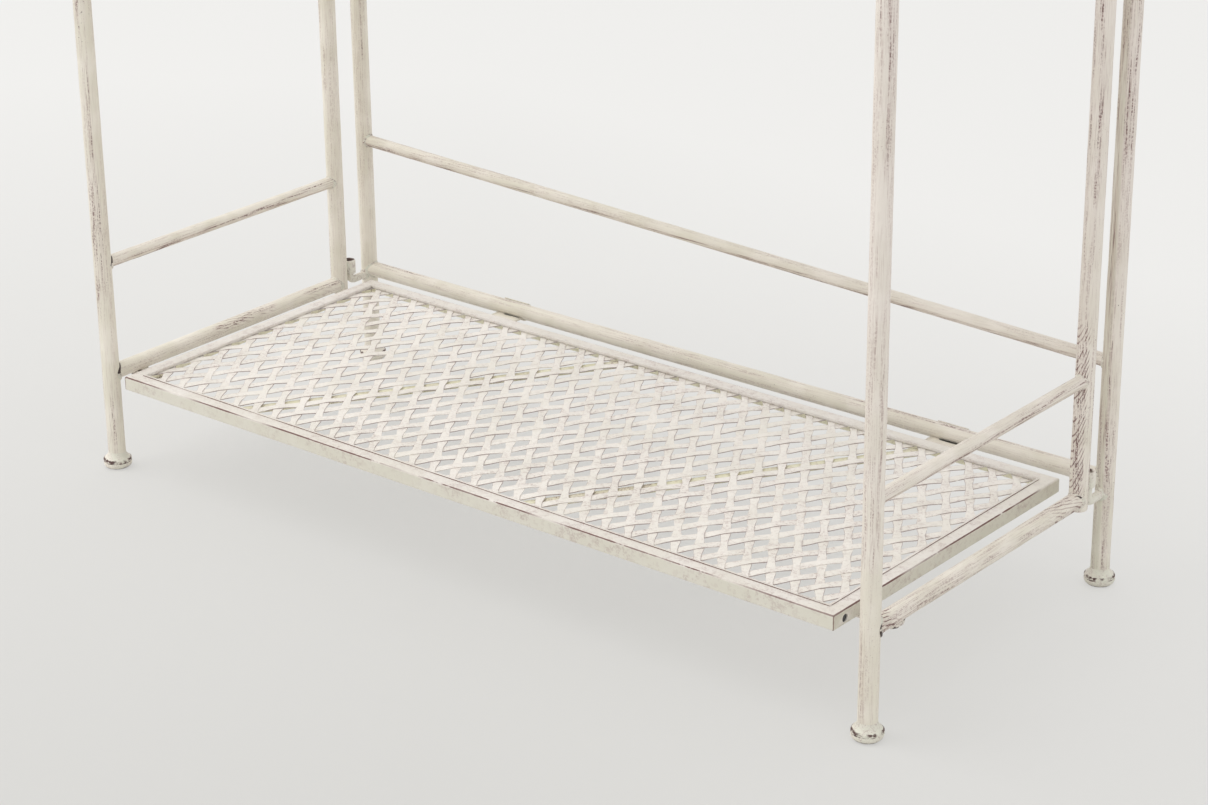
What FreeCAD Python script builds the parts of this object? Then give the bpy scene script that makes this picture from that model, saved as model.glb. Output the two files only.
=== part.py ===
"""Folding plant shelf: a back frame, two swinging side frames and three lift-up woven shelves.

Millimetres. +X runs to the right along the shelves, +Y to the back, +Z up. The origin is on the floor, in the
middle of the four feet.
"""

import FreeCAD, Part
import os
import re
import Sketcher

TIERS = (1, 2, 3)
SIDES = {"left": -1, "right": 1}

# Driving dimensions. A name that ends in angle is in degrees, one that ends in count is a number of pieces.
SIZES = {
    # Uprights: six tubes, on the corners of two side frames and one back frame
    "post_diameter": 12.7,
    "post_wall": 1.2,
    "post_span": 662.0,
    "frame_depth": 271.0,
    "hinge_gap": 34.0,
    "post_top_margin": 24.0,
    "upright_tail": 6.2,
    # Round bars between the uprights
    "tier_rise": 420.0,
    "side_rail_height": 73.0,
    "back_rail_lift": 3.0,
    "guard_rise": 83.5,
    "back_guard_lift": 1.0,
    "back_guard_slope": 24.0,
    "rail_diameter": 11.5,
    "guard_diameter": 8.8,
    "weld_gap": 0.05,
    "cut_overrun": 40.0,
    # Feet and caps on the tube ends
    "foot_height": 11.0,
    "foot_diameter": 20.6,
    "foot_shoulder_height": 8.6,
    "foot_shoulder_diameter": 15.4,
    "foot_groove_height": 5.0,
    "foot_groove_width": 1.2,
    "foot_groove_depth": 0.6,
    "foot_base_radius": 3.4,
    "spigot_length": 9.0,
    "spigot_clearance": 0.05,
    "cap_height": 3.6,
    "cap_radius": 3.0,
    "plug_height": 1.0,
    "plug_radius": 0.7,
    # Lift-off hinges of the side frames: a bent pin on the back post, a sleeve on the rear upright
    "pin_diameter": 6.0,
    "pin_clearance": 0.05,
    "pin_bend_radius": 4.5,
    "left_pin_drop": 1.0,
    "right_pin_drop": 6.5,
    "pin_recess": 2.0,
    "sleeve_diameter": 10.0,
    "sleeve_length": 11.0,
    "sleeve_rise": 5.0,
    # Shelf frame: four mitred angle bars
    "shelf_side_gap": 15.6,
    "shelf_back_gap": 15.6,
    "angle_leg": 10.0,
    "angle_wall": 2.0,
    "catch_hole_diameter": 5.5,
    "catch_hole_setback": 12.0,
    # Rest tabs on the side frames, under the shelf's side bars
    "tab_width": 14.0,
    "tab_thickness": 1.6,
    "tab_setback": 27.0,
    "tab_overlap": 3.0,
    "rest_gap": 0.2,
    # Woven panel and the two flat braces under it
    "strip_width": 7.0,
    "strip_thickness": 1.0,
    "strip_pitch": 15.4,
    "strip_angle": 56.4,
    "panel_gap": 0.4,
    "brace_width": 9.0,
    "brace_thickness": 2.0,
    "brace_step_count": 14,
    # Strap hinges that curl round the back rail
    "strap_width": 24.0,
    "strap_thickness": 0.8,
    "strap_clearance": 0.08,
    "strap_end_offset": 1.5,
    "strap_drop": 3.4,
    "strap_left_offset": 181.0,
    "strap_right_offset": 210.0,
}

# Places that several pieces share, written in the sizes above
BACK_Y = "(frame_depth / 2)"
FRONT_Y = "(-frame_depth / 2)"
REAR_Y = "(frame_depth / 2 - hinge_gap)"
POST_BORE = "(post_diameter - 2 * post_wall)"
SIDE_GUARD_Z = "(side_rail_height + guard_rise)"
BACK_RAIL_Z = "(side_rail_height + back_rail_lift)"
BACK_GUARD_Z = f"({SIDE_GUARD_Z} + back_guard_lift)"
POST_TOP = f"(2 * tier_rise + {SIDE_GUARD_Z} + post_top_margin)"
UPRIGHT_FOOT = "(side_rail_height - upright_tail)"
SLEEVE_Y = f"({REAR_Y} + post_diameter / 2 + weld_gap + sleeve_diameter / 2)"
SHELF_WIDTH = "(post_span - post_diameter - 2 * shelf_side_gap)"
SHELF_FRONT = f"({FRONT_Y} - post_diameter / 2)"
SHELF_BACK = f"({BACK_Y} - rail_diameter / 2 - shelf_back_gap)"
SHELF_DEPTH = f"({SHELF_BACK} - {SHELF_FRONT})"
SHELF_MIDDLE = f"(({SHELF_BACK} + {SHELF_FRONT}) / 2)"
TAB_TOP = "(side_rail_height - rail_diameter / 2 - weld_gap)"
SHELF_TOP = f"({TAB_TOP} + rest_gap + angle_leg)"
PANEL_WIDTH = f"({SHELF_WIDTH} - 2 * angle_wall - 2 * panel_gap)"
PANEL_DEPTH = f"({SHELF_DEPTH} - 2 * angle_wall - 2 * panel_gap)"
PANEL_TOP = f"({SHELF_TOP} - angle_wall)"

X_AXIS = FreeCAD.Vector(1, 0, 0)
Y_AXIS = FreeCAD.Vector(0, 1, 0)
Z_AXIS = FreeCAD.Vector(0, 0, 1)
RIGHT_ANGLE = 90
HALF_TURN = 180

doc = FreeCAD.newDocument("plant_shelf")
nodes = []


def make_sheet():
    """Writes the driving dimensions to the sheet, one aliased cell each."""
    sheet = doc.addObject("Spreadsheet::Sheet", "dims")
    for row, (name, value) in enumerate(SIZES.items(), start=1):
        sheet.set(f"A{row}", name.replace("_", " "))
        sheet.set(f"B{row}", str(value))
        sheet.setAlias(f"B{row}", name)
    doc.recompute()


def from_sheet(text):
    """Turns a sum of size names into an expression on the sheet's cells."""
    return re.sub(r"[a-z_]+", lambda word: f"dims.{word[0]}" if word[0] in SIZES else word[0], text)


def bind(item, sizes):
    """Ties properties of a piece to sums of the driving dimensions."""
    for name, text in sizes.items():
        item.setExpression(name, from_sheet(text))


def place(item, x, y, z, axis=Z_AXIS, turn=0):
    """Puts a piece at a place given in the driving dimensions, turned by a fixed angle."""
    item.Placement = FreeCAD.Placement(FreeCAD.Vector(), FreeCAD.Rotation(axis, turn))
    bind(item, {"Placement.Base.x": x, "Placement.Base.y": y, "Placement.Base.z": z})
    return item


def finished(item, label):
    """Names a finished sub-part, so that it is checked and written."""
    item.Label = label
    nodes.append(item)
    return item


def group(label, items):
    """Joins like pieces in one sub-part, each still a solid of its own."""
    compound = doc.addObject("Part::Compound", label)
    compound.Links = items
    return finished(compound, label)


def new_sketch(body, role, name):
    """Starts a sketch on one of the body's own origin planes."""
    sketch = body.newObject("Sketcher::SketchObject", name)
    plane = next(item for item in body.Origin.OriginFeatures if item.Role == role)
    sketch.AttachmentSupport = [(plane, "")]
    sketch.MapMode = "FlatFace"
    return sketch


def fix_point(sketch, line, x, y):
    """Holds the start of a line at a place given in the driving dimensions.

    The sketch's upright axis is its geometry -2, and its level axis -1.
    """
    for text, kind, axis in ((x, "DistanceX", -2), (y, "DistanceY", -1)):
        if text == "0":
            sketch.addConstraint(Sketcher.Constraint("PointOnObject", line, 1, axis))
        else:
            value = sketch.evalExpression(from_sheet(text))
            index = sketch.addConstraint(Sketcher.Constraint(kind, -1, 1, line, 1, float(value)))
            sketch.setExpression(f"Constraints[{index}]", from_sheet(text))


def add_outline(sketch, points):
    """Draws a closed outline of straight lines through points written in the driving dimensions."""
    corners = []
    for x, y in points:
        place_x = float(sketch.evalExpression(from_sheet(x)))
        place_y = float(sketch.evalExpression(from_sheet(y)))
        corners.append(FreeCAD.Vector(place_x, place_y, 0))
    lines = []
    for start, end in zip(corners, corners[1:] + corners[:1]):
        lines.append(sketch.addGeometry(Part.LineSegment(start, end), False))
    for line, following in zip(lines, lines[1:] + lines[:1]):
        sketch.addConstraint(Sketcher.Constraint("Coincident", line, 2, following, 1))
    for line, (x, y) in zip(lines, points):
        fix_point(sketch, line, x, y)


def add_circle(sketch, diameter, x="0", y="0"):
    """Draws a circle of a given diameter about a point of the sketch."""
    centre = FreeCAD.Vector(*(float(sketch.evalExpression(from_sheet(text))) for text in (x, y)), 0)
    radius = float(sketch.evalExpression(from_sheet(diameter))) / 2
    circle = sketch.addGeometry(Part.Circle(centre, Z_AXIS, radius), False)
    index = sketch.addConstraint(Sketcher.Constraint("Diameter", circle, 2 * radius))
    sketch.setExpression(f"Constraints[{index}]", from_sheet(diameter))
    if x == y == "0":
        sketch.addConstraint(Sketcher.Constraint("Coincident", circle, 3, -1, 1))
        return
    for text, kind in ((x, "DistanceX"), (y, "DistanceY")):
        value = float(sketch.evalExpression(from_sheet(text)))
        index = sketch.addConstraint(Sketcher.Constraint(kind, -1, 1, circle, 3, value))
        sketch.setExpression(f"Constraints[{index}]", from_sheet(text))


def new_body(name):
    return doc.addObject("PartDesign::Body", name)


def pad(body, sketch, length, symmetric=False):
    """Extrudes a sketch by a length, to one side or half to each side."""
    feature = body.newObject("PartDesign::Pad", "Pad")
    feature.Profile = sketch
    feature.Midplane = symmetric
    bind(feature, {"Length": length})
    sketch.Visibility = False
    return feature


def pocket_through(body, sketch):
    """Cuts a sketch right through the body, to both sides of its plane."""
    feature = body.newObject("PartDesign::Pocket", "Pocket")
    feature.Profile = sketch
    feature.Type = "ThroughAll"
    feature.Midplane = True
    return feature


def revolve(body, sketch):
    """Turns a profile once round the sketch's upright axis."""
    feature = body.newObject("PartDesign::Revolution", "Revolution")
    feature.Profile = sketch
    feature.ReferenceAxis = (sketch, ["V_Axis"])
    feature.Angle = 2 * HALF_TURN
    return feature


def round_edges(body, base, height, radius):
    """Rounds the widest turned edge that lies at a given height of the base feature."""
    doc.recompute()
    level = float(body.evalExpression(from_sheet(height)))
    rings = []
    for index, edge in enumerate(base.Shape.Edges, start=1):
        box = edge.BoundBox
        if abs(box.ZMin - level) < TOUCH and abs(box.ZMax - level) < TOUCH:
            rings.append((box.XLength, f"Edge{index}"))
    fillet = body.newObject("PartDesign::Fillet", "Fillet")
    fillet.Base = (base, [max(rings)[1]])
    bind(fillet, {"Radius": radius})
    return fillet


# Two heights closer than this are the same height
TOUCH = 1e-4


def make_tube(name, bottom, top, x, y):
    """An upright: a round tube from one height to another."""
    body = new_body(name)
    sketch = new_sketch(body, "XY_Plane", "Ring")
    add_circle(sketch, "post_diameter")
    add_circle(sketch, POST_BORE)
    pad(body, sketch, f"{top} - {bottom}")
    place(body, x, y, bottom)
    return finished(body, name)


def make_foot(name, x, y):
    """A foot: a turned knob with a rounded base, a groove round its band and a spigot in the tube."""
    spigot = f"{POST_BORE} / 2 - spigot_clearance"
    band = "foot_diameter / 2"
    body = new_body(name)
    sketch = new_sketch(body, "XZ_Plane", "Profile")
    add_outline(
        sketch,
        [
            ("0", "0"),
            (band, "0"),
            (band, "foot_groove_height - foot_groove_width / 2"),
            (f"{band} - foot_groove_depth", "foot_groove_height"),
            (band, "foot_groove_height + foot_groove_width / 2"),
            (band, "(foot_groove_height + foot_shoulder_height) / 2"),
            ("foot_shoulder_diameter / 2", "foot_shoulder_height"),
            ("post_diameter / 2", "foot_height"),
            (spigot, "foot_height"),
            (spigot, "foot_height + spigot_length"),
            ("0", "foot_height + spigot_length"),
        ],
    )
    turned = revolve(body, sketch)
    round_edges(body, turned, "0 * foot_height", "foot_base_radius")
    place(body, x, y, "0 * foot_height")
    return finished(body, name)


def make_cap(name, x, y, z, height, radius, turn=0):
    """A plug with a rounded head that closes the end of a tube."""
    spigot = f"{POST_BORE} / 2 - spigot_clearance"
    body = new_body(name)
    sketch = new_sketch(body, "XZ_Plane", "Profile")
    add_outline(
        sketch,
        [
            ("0", "-spigot_length"),
            (spigot, "-spigot_length"),
            (spigot, "0"),
            ("post_diameter / 2", "0"),
            ("post_diameter / 2", height),
            ("0", height),
        ],
    )
    turned = revolve(body, sketch)
    round_edges(body, turned, height, radius)
    return place(body, x, y, z, X_AXIS, turn)


def coped(label, bar, ends):
    """Cuts the ends of a bar to the round of the uprights that it is welded to."""
    tools = []
    for x, y, z in ends:
        tool = doc.addObject("Part::Cylinder", "Cope")
        bind(tool, {"Radius": "post_diameter / 2 + weld_gap", "Height": "2 * cut_overrun"})
        tools.append(place(tool, x, y, f"{z} - cut_overrun"))
    both = doc.addObject("Part::Compound", "Copes")
    both.Links = tools
    cut = doc.addObject("Part::Cut", label)
    cut.Base = bar
    cut.Tool = both
    cut.Refine = True
    return cut


def make_back_bar(label, diameter, height, slope="0 * back_guard_slope"):
    """A bar of the back frame, from post to post. A slope lifts its left end."""
    bar = doc.addObject("Part::Cylinder", "BackBar")
    bind(bar, {"Radius": f"{diameter} / 2", "Height": f"sqrt(pow(post_span; 2) + pow({slope}; 2))"})
    place(bar, "-post_span / 2", BACK_Y, f"{height} + {slope}", Y_AXIS, RIGHT_ANGLE)
    bind(bar, {"Placement.Rotation.Angle": f"{RIGHT_ANGLE} deg + atan({slope} / post_span)"})
    ends = [("-post_span / 2", BACK_Y, f"{height} + {slope}"), ("post_span / 2", BACK_Y, height)]
    return finished(coped(label, bar, ends), label)


def make_side_bar(label, sign, diameter, height):
    """A bar of a side frame, from the front post to the rear upright."""
    x = f"{sign} * post_span / 2"
    bar = doc.addObject("Part::Cylinder", "SideBar")
    bind(bar, {"Radius": f"{diameter} / 2", "Height": f"{REAR_Y} - {FRONT_Y}"})
    place(bar, x, FRONT_Y, height, X_AXIS, -RIGHT_ANGLE)
    return finished(coped(label, bar, [(x, FRONT_Y, height), (x, REAR_Y, height)]), label)


def make_pin(name, side, rise):
    """A hinge pin: a rod welded to the back post that runs forward and turns up into its sleeve."""
    run = f"{BACK_Y} - {SLEEVE_Y}"
    top = f"{side}_pin_drop + sleeve_rise + sleeve_length - pin_recess"
    body = new_body(name)
    path = new_sketch(body, "YZ_Plane", "Path")
    across = float(path.evalExpression(from_sheet(run)))
    bend = SIZES["pin_bend_radius"]
    height = float(path.evalExpression(from_sheet(top)))
    corner = FreeCAD.Vector(bend - across, 0, 0)
    lift = FreeCAD.Vector(-across, bend, 0)
    middle = FreeCAD.Vector(bend - across, bend, 0)
    level = path.addGeometry(Part.LineSegment(FreeCAD.Vector(), corner), False)
    circle = Part.Circle(middle, Z_AXIS, bend)
    arc = path.addGeometry(
        Part.ArcOfCircle(circle, circle.parameter(lift), circle.parameter(corner)), False
    )
    upright = path.addGeometry(Part.LineSegment(lift, FreeCAD.Vector(-across, height, 0)), False)
    path.addConstraint(Sketcher.Constraint("Coincident", level, 1, -1, 1))
    path.addConstraint(Sketcher.Constraint("Horizontal", level))
    path.addConstraint(Sketcher.Constraint("Vertical", upright))
    path.addConstraint(Sketcher.Constraint("Tangent", level, 2, arc, 2))
    path.addConstraint(Sketcher.Constraint("Tangent", arc, 1, upright, 1))
    radius = path.addConstraint(Sketcher.Constraint("Radius", arc, bend))
    path.setExpression(f"Constraints[{radius}]", from_sheet("pin_bend_radius"))
    reach = path.addConstraint(Sketcher.Constraint("DistanceX", -1, 1, upright, 2, -across))
    path.setExpression(f"Constraints[{reach}]", from_sheet(f"-({run})"))
    tall = path.addConstraint(Sketcher.Constraint("DistanceY", -1, 1, upright, 2, height))
    path.setExpression(f"Constraints[{tall}]", from_sheet(top))
    section = new_sketch(body, "XZ_Plane", "Section")
    add_circle(section, "pin_diameter")
    pipe = body.newObject("PartDesign::AdditivePipe", "Pipe")
    pipe.Profile = section
    pipe.Spine = (path, ["Edge1", "Edge2", "Edge3"])
    x = f"{SIDES[side]} * post_span / 2"
    z = f"side_rail_height - {side}_pin_drop + {rise}"
    place(body, x, BACK_Y, z)
    return coped(f"{name}Coped", body, [(x, BACK_Y, z)])


def make_sleeve(name, sign, rise):
    """A hinge sleeve: a short open tube on the rear upright that sits over its pin."""
    body = new_body(name)
    sketch = new_sketch(body, "XY_Plane", "Ring")
    add_circle(sketch, "sleeve_diameter")
    add_circle(sketch, "pin_diameter + 2 * pin_clearance")
    pad(body, sketch, "sleeve_length")
    seat = f"side_rail_height + sleeve_rise + {rise}"
    return place(body, f"{sign} * post_span / 2", SLEEVE_Y, seat)


def make_tab(name, sign, rise):
    """A rest tab: a flat bar under the side rail that reaches in below the shelf's side bar."""
    reach = "post_diameter / 2 + shelf_side_gap + tab_overlap"
    tab = doc.addObject("Part::Box", name)
    bind(tab, {"Length": reach, "Width": "tab_width", "Height": "tab_thickness"})
    left = "-post_span / 2" if sign < 0 else f"post_span / 2 - ({reach})"
    return place(
        tab, left, f"{FRONT_Y} + tab_setback - tab_width / 2", f"{TAB_TOP} - tab_thickness + {rise}"
    )


def make_angle_bar(label, length, turn, x, y, rise, hole_end=0):
    """A bar of the shelf frame: an angle with a flat top and a skirt outside, mitred at both ends.

    A hole end of 1 or -1 drills the catch hole through the skirt near that end of the bar.
    """
    body = new_body(label)
    section = new_sketch(body, "YZ_Plane", "Section")
    add_outline(
        section,
        [
            ("0", "0"),
            ("angle_leg", "0"),
            ("angle_leg", "-angle_wall"),
            ("angle_wall", "-angle_wall"),
            ("angle_wall", "-angle_leg"),
            ("0", "-angle_leg"),
        ],
    )
    pad(body, section, length, symmetric=True)
    mitre = new_sketch(body, "XY_Plane", "Mitre")
    for end in (1, -1):
        add_outline(
            mitre,
            [
                (f"{end} * ({length} / 2 + cut_overrun)", "-cut_overrun"),
                (f"{end} * ({length} / 2 + cut_overrun)", "angle_leg + cut_overrun"),
                (f"{end} * ({length} / 2 - angle_leg - cut_overrun)", "angle_leg + cut_overrun"),
            ],
        )
    pocket_through(body, mitre)
    if hole_end:
        hole = new_sketch(body, "XZ_Plane", "CatchHole")
        along = f"{hole_end} * ({length} / 2 - catch_hole_setback)"
        add_circle(hole, "catch_hole_diameter", along, "-(angle_leg + angle_wall) / 2")
        pocket_through(body, hole)
    place(body, x, y, f"{SHELF_TOP} + {rise}", Z_AXIS, turn)
    return finished(body, label)


def make_parallel_bars(name, width, thickness, count, pitch, turn, z):
    """Flat bars side by side at one pitch, level, with their middle on the shelf's middle."""
    length = f"sqrt(pow({PANEL_WIDTH}; 2) + pow({PANEL_DEPTH}; 2)) + cut_overrun"
    first = f"(-({count} - 1) * {pitch} / 2)"
    body = new_body(name)
    body.AllowCompound = True
    sketch = new_sketch(body, "XY_Plane", "Bar")
    add_outline(
        sketch,
        [
            (f"{first} - {width} / 2", f"-({length}) / 2"),
            (f"{first} + {width} / 2", f"-({length}) / 2"),
            (f"{first} + {width} / 2", f"({length}) / 2"),
            (f"{first} - {width} / 2", f"({length}) / 2"),
        ],
    )
    bar = pad(body, sketch, thickness)
    pattern = body.newObject("PartDesign::LinearPattern", "Pattern")
    pattern.Originals = [bar]
    pattern.Direction = (sketch, ["H_Axis"])
    bind(pattern, {"Length": f"({count} - 1) * {pitch}", "Occurrences": count})
    body.Tip = pattern
    place(body, "0 * post_span", SHELF_MIDDLE, z, Z_AXIS, RIGHT_ANGLE)
    bind(body, {"Placement.Rotation.Angle": turn})
    return body


def trimmed(label, bars, rise):
    """Trims flat bars to the inside of the shelf frame."""
    frame = doc.addObject("Part::Box", "Inside")
    bind(
        frame,
        {"Length": PANEL_WIDTH, "Width": PANEL_DEPTH, "Height": "2 * cut_overrun"},
    )
    middle_y = f"{SHELF_MIDDLE} - {PANEL_DEPTH} / 2"
    place(frame, f"-{PANEL_WIDTH} / 2", middle_y, f"{SHELF_TOP} - cut_overrun + {rise}")
    common = doc.addObject("Part::Common", label)
    common.Base = bars
    common.Tool = frame
    return common


def make_panel(tier, rise):
    """The woven panel, as two layers of slanting strips under the frame, and its two flat braces."""
    across = f"({PANEL_WIDTH} * sin(strip_angle) + {PANEL_DEPTH} * cos(strip_angle))"
    count = f"(2 * ceil({across} / strip_pitch / 2))"
    upper = f"{PANEL_TOP} - strip_thickness + {rise}"
    lower = f"{PANEL_TOP} - 2 * strip_thickness + {rise}"
    rising = "strip_angle + 90"
    falling = "90 - strip_angle"
    layers = []
    for name, turn, z in (("Rising", rising, upper), ("Falling", falling, lower)):
        strips = make_parallel_bars(
            f"{name}Strips{tier}", "strip_width", "strip_thickness", count, "strip_pitch", turn, z
        )
        layers.append(trimmed(f"{name}Layer{tier}", strips, rise))
    group(f"shelf_{tier}_weave", layers)
    braces = make_parallel_bars(
        f"Braces{tier}",
        "brace_width",
        "brace_thickness",
        "2",
        "(brace_step_count * strip_pitch)",
        rising,
        f"{lower} - brace_thickness",
    )
    finished(trimmed(f"shelf_{tier}_braces", braces, rise), f"shelf_{tier}_braces")


def make_strap(name, offset, rise):
    """A strap hinge: a flat strip from the shelf's rear bar that runs under the back rail and curls over it."""
    inner = "(rail_diameter / 2 + strap_clearance)"
    height = f"({BACK_RAIL_Z} + {rise})"
    curl = doc.addObject("Part::Cylinder", "Curl")
    bind(curl, {"Radius": f"{inner} + strap_thickness", "Height": "strap_width"})
    place(curl, f"{offset} - strap_width / 2", BACK_Y, height, Y_AXIS, RIGHT_ANGLE)
    tongue = doc.addObject("Part::Box", "Tongue")
    tongue_size = {"Length": "strap_width", "Width": f"{BACK_Y} - {SHELF_BACK}", "Height": "strap_thickness"}
    bind(tongue, tongue_size)
    tongue_z = f"{height} - strap_drop - strap_thickness"
    place(tongue, f"{offset} - strap_width / 2", SHELF_BACK, tongue_z)
    whole = doc.addObject("Part::Fuse", "CurlAndTongue")
    whole.Base = curl
    whole.Tool = tongue
    bore = doc.addObject("Part::Cylinder", "Bore")
    bind(bore, {"Radius": inner, "Height": "strap_width + 2 * cut_overrun"})
    place(bore, f"{offset} - strap_width / 2 - cut_overrun", BACK_Y, height, Y_AXIS, RIGHT_ANGLE)
    mouth = doc.addObject("Part::Box", "Mouth")
    bind(
        mouth,
        {"Length": "strap_width + 2 * cut_overrun", "Width": "cut_overrun", "Height": "cut_overrun"},
    )
    mouth_x = f"{offset} - strap_width / 2 - cut_overrun"
    mouth_y = f"{BACK_Y} + strap_end_offset - cut_overrun"
    place(mouth, mouth_x, mouth_y, f"{height} - strap_drop")
    both = doc.addObject("Part::Fuse", "BoreAndMouth")
    both.Base = bore
    both.Tool = mouth
    strap = doc.addObject("Part::Cut", name)
    strap.Base = whole
    strap.Tool = both
    strap.Refine = True
    return strap


def make_back_frame():
    caps = []
    for side, sign in SIDES.items():
        x = f"{sign} * post_span / 2"
        make_tube(f"back_post_{side}", "foot_height", POST_TOP, x, BACK_Y)
        make_foot(f"foot_back_{side}", x, BACK_Y)
        caps.append(make_cap(f"BackCap{side}", x, BACK_Y, POST_TOP, "cap_height", "cap_radius"))
    group("back_post_caps", caps)
    for tier in TIERS:
        rise = f"{tier - 1} * tier_rise"
        slope = "back_guard_slope" if tier == TIERS[0] else "0 * back_guard_slope"
        make_back_bar(f"back_shelf_rail_{tier}", "rail_diameter", f"({BACK_RAIL_Z} + {rise})")
        make_back_bar(f"back_guard_rail_{tier}", "guard_diameter", f"({BACK_GUARD_Z} + {rise})", slope)


def make_side_frame(side, sign):
    x = f"{sign} * post_span / 2"
    make_tube(f"front_post_{side}", "foot_height", POST_TOP, x, FRONT_Y)
    make_tube(f"rear_upright_{side}", UPRIGHT_FOOT, POST_TOP, x, REAR_Y)
    make_foot(f"foot_front_{side}", x, FRONT_Y)
    caps = [
        make_cap(f"FrontCap{side}", x, FRONT_Y, POST_TOP, "cap_height", "cap_radius"),
        make_cap(f"RearCap{side}", x, REAR_Y, POST_TOP, "cap_height", "cap_radius"),
        make_cap(f"RearPlug{side}", x, REAR_Y, UPRIGHT_FOOT, "plug_height", "plug_radius", HALF_TURN),
    ]
    group(f"{side}_frame_caps", caps)
    for tier in TIERS:
        rise = f"{tier - 1} * tier_rise"
        make_side_bar(f"{side}_shelf_rail_{tier}", sign, "rail_diameter", f"(side_rail_height + {rise})")
        make_side_bar(f"{side}_guard_rail_{tier}", sign, "guard_diameter", f"({SIDE_GUARD_Z} + {rise})")
    tabs = [make_tab(f"Tab{side}{tier}", sign, f"{tier - 1} * tier_rise") for tier in TIERS]
    group(f"{side}_rest_tabs", tabs)
    hinge_rises = [f"{tier - 1} * tier_rise" for tier in (TIERS[0], TIERS[-1])]
    pins = [make_pin(f"Pin{side}{index}", side, rise) for index, rise in enumerate(hinge_rises)]
    group(f"{side}_hinge_pins", pins)
    sleeves = [make_sleeve(f"Sleeve{side}{index}", sign, rise) for index, rise in enumerate(hinge_rises)]
    group(f"{side}_hinge_sleeves", sleeves)


def make_shelf(tier):
    rise = f"{tier - 1} * tier_rise"
    half = f"{SHELF_WIDTH} / 2"
    middle = "0 * post_span"
    shelf = f"shelf_{tier}"
    make_angle_bar(f"{shelf}_front_bar", SHELF_WIDTH, 0, middle, SHELF_FRONT, rise)
    make_angle_bar(f"{shelf}_rear_bar", SHELF_WIDTH, HALF_TURN, middle, SHELF_BACK, rise)
    make_angle_bar(f"{shelf}_left_bar", SHELF_DEPTH, -RIGHT_ANGLE, f"-{half}", SHELF_MIDDLE, rise, 1)
    make_angle_bar(f"{shelf}_right_bar", SHELF_DEPTH, RIGHT_ANGLE, half, SHELF_MIDDLE, rise, -1)
    make_panel(tier, rise)
    straps = [
        make_strap(f"LeftStrap{tier}", "-strap_left_offset", rise),
        make_strap(f"RightStrap{tier}", "strap_right_offset", rise),
    ]
    group(f"{shelf}_hinge_straps", straps)


def check():
    """Stops on any failed feature, empty or broken shape, or cut that takes nothing away."""
    for item in doc.Objects:
        if {"Invalid", "Error"} & set(item.State):
            raise RuntimeError(f"{item.Label} failed: {item.State}")
        if item.TypeId == "PartDesign::Pocket" and item.Shape.Volume >= item.BaseFeature.Shape.Volume:
            raise RuntimeError(f"{item.Label} cuts nothing")
    for node in nodes:
        if node.Shape.isNull() or not node.Shape.isValid() or not node.Shape.Solids:
            raise RuntimeError(f"{node.Label} has no sound shape")


make_sheet()
make_back_frame()
for side_name, side_sign in SIDES.items():
    make_side_frame(side_name, side_sign)
for shelf_tier in TIERS:
    make_shelf(shelf_tier)
doc.recompute()
check()
os.makedirs("parts", exist_ok=True)
for node in nodes:
    node.Shape.exportStep(f"parts/{node.Label}.step")
print(len(nodes), "sub-parts,", sum(len(node.Shape.Solids) for node in nodes), "solids")
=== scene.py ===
"""Dresses the folding plant shelf: worn cream paint on iron tube, and shelves of woven metal strip."""

import math

import bmesh
import bpy
from mathutils import Matrix, Vector, noise


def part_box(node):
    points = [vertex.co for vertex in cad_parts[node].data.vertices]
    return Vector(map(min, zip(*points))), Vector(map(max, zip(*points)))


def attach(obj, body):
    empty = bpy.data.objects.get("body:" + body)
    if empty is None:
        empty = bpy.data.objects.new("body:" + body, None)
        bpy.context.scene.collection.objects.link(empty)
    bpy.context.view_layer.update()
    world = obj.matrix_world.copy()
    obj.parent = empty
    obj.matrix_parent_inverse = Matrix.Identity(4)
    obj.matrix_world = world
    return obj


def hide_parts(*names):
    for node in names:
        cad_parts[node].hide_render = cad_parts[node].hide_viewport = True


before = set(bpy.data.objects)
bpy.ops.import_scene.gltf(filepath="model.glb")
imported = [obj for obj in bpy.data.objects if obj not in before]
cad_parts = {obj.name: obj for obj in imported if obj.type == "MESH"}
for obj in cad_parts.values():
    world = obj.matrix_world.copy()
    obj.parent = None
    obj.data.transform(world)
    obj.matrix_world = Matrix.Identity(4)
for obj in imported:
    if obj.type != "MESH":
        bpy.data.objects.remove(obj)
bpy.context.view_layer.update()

# The stage: the stand is seen from its front right and a little above, cropped to its lowest tier, on a
# pale painted floor. Soft light fills the room, and a broad lamp high on the left lifts the tops and left
# sides.
scene = bpy.context.scene
scene.view_settings.view_transform = "Standard"

camera_place = (1.2134, -1.4539, 0.8734)
camera_turn = 39.42
camera_dip = 22.56
camera_roll = -0.583
camera = bpy.data.objects.new("camera", bpy.data.cameras.new("camera"))
scene.collection.objects.link(camera)
camera.data.sensor_width = 36.0
camera.data.lens = 88.97
camera.data.shift_x = -0.0007
camera.data.shift_y = 0.0031
camera.data.clip_end = 50.0
camera.matrix_world = (
    Matrix.Translation(camera_place)
    @ Matrix.Rotation(math.radians(camera_turn), 4, "Z")
    @ Matrix.Rotation(math.radians(90.0 - camera_dip), 4, "X")
    @ Matrix.Rotation(math.radians(camera_roll), 4, "Z")
)
scene.camera = camera

room = bpy.data.worlds.new("room")
room.use_nodes = True
room_light = room.node_tree.nodes["Background"].inputs
room_light["Color"].default_value = (1.0, 1.0, 1.0, 1.0)
room_light["Strength"].default_value = 0.96
scene.world = room

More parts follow.
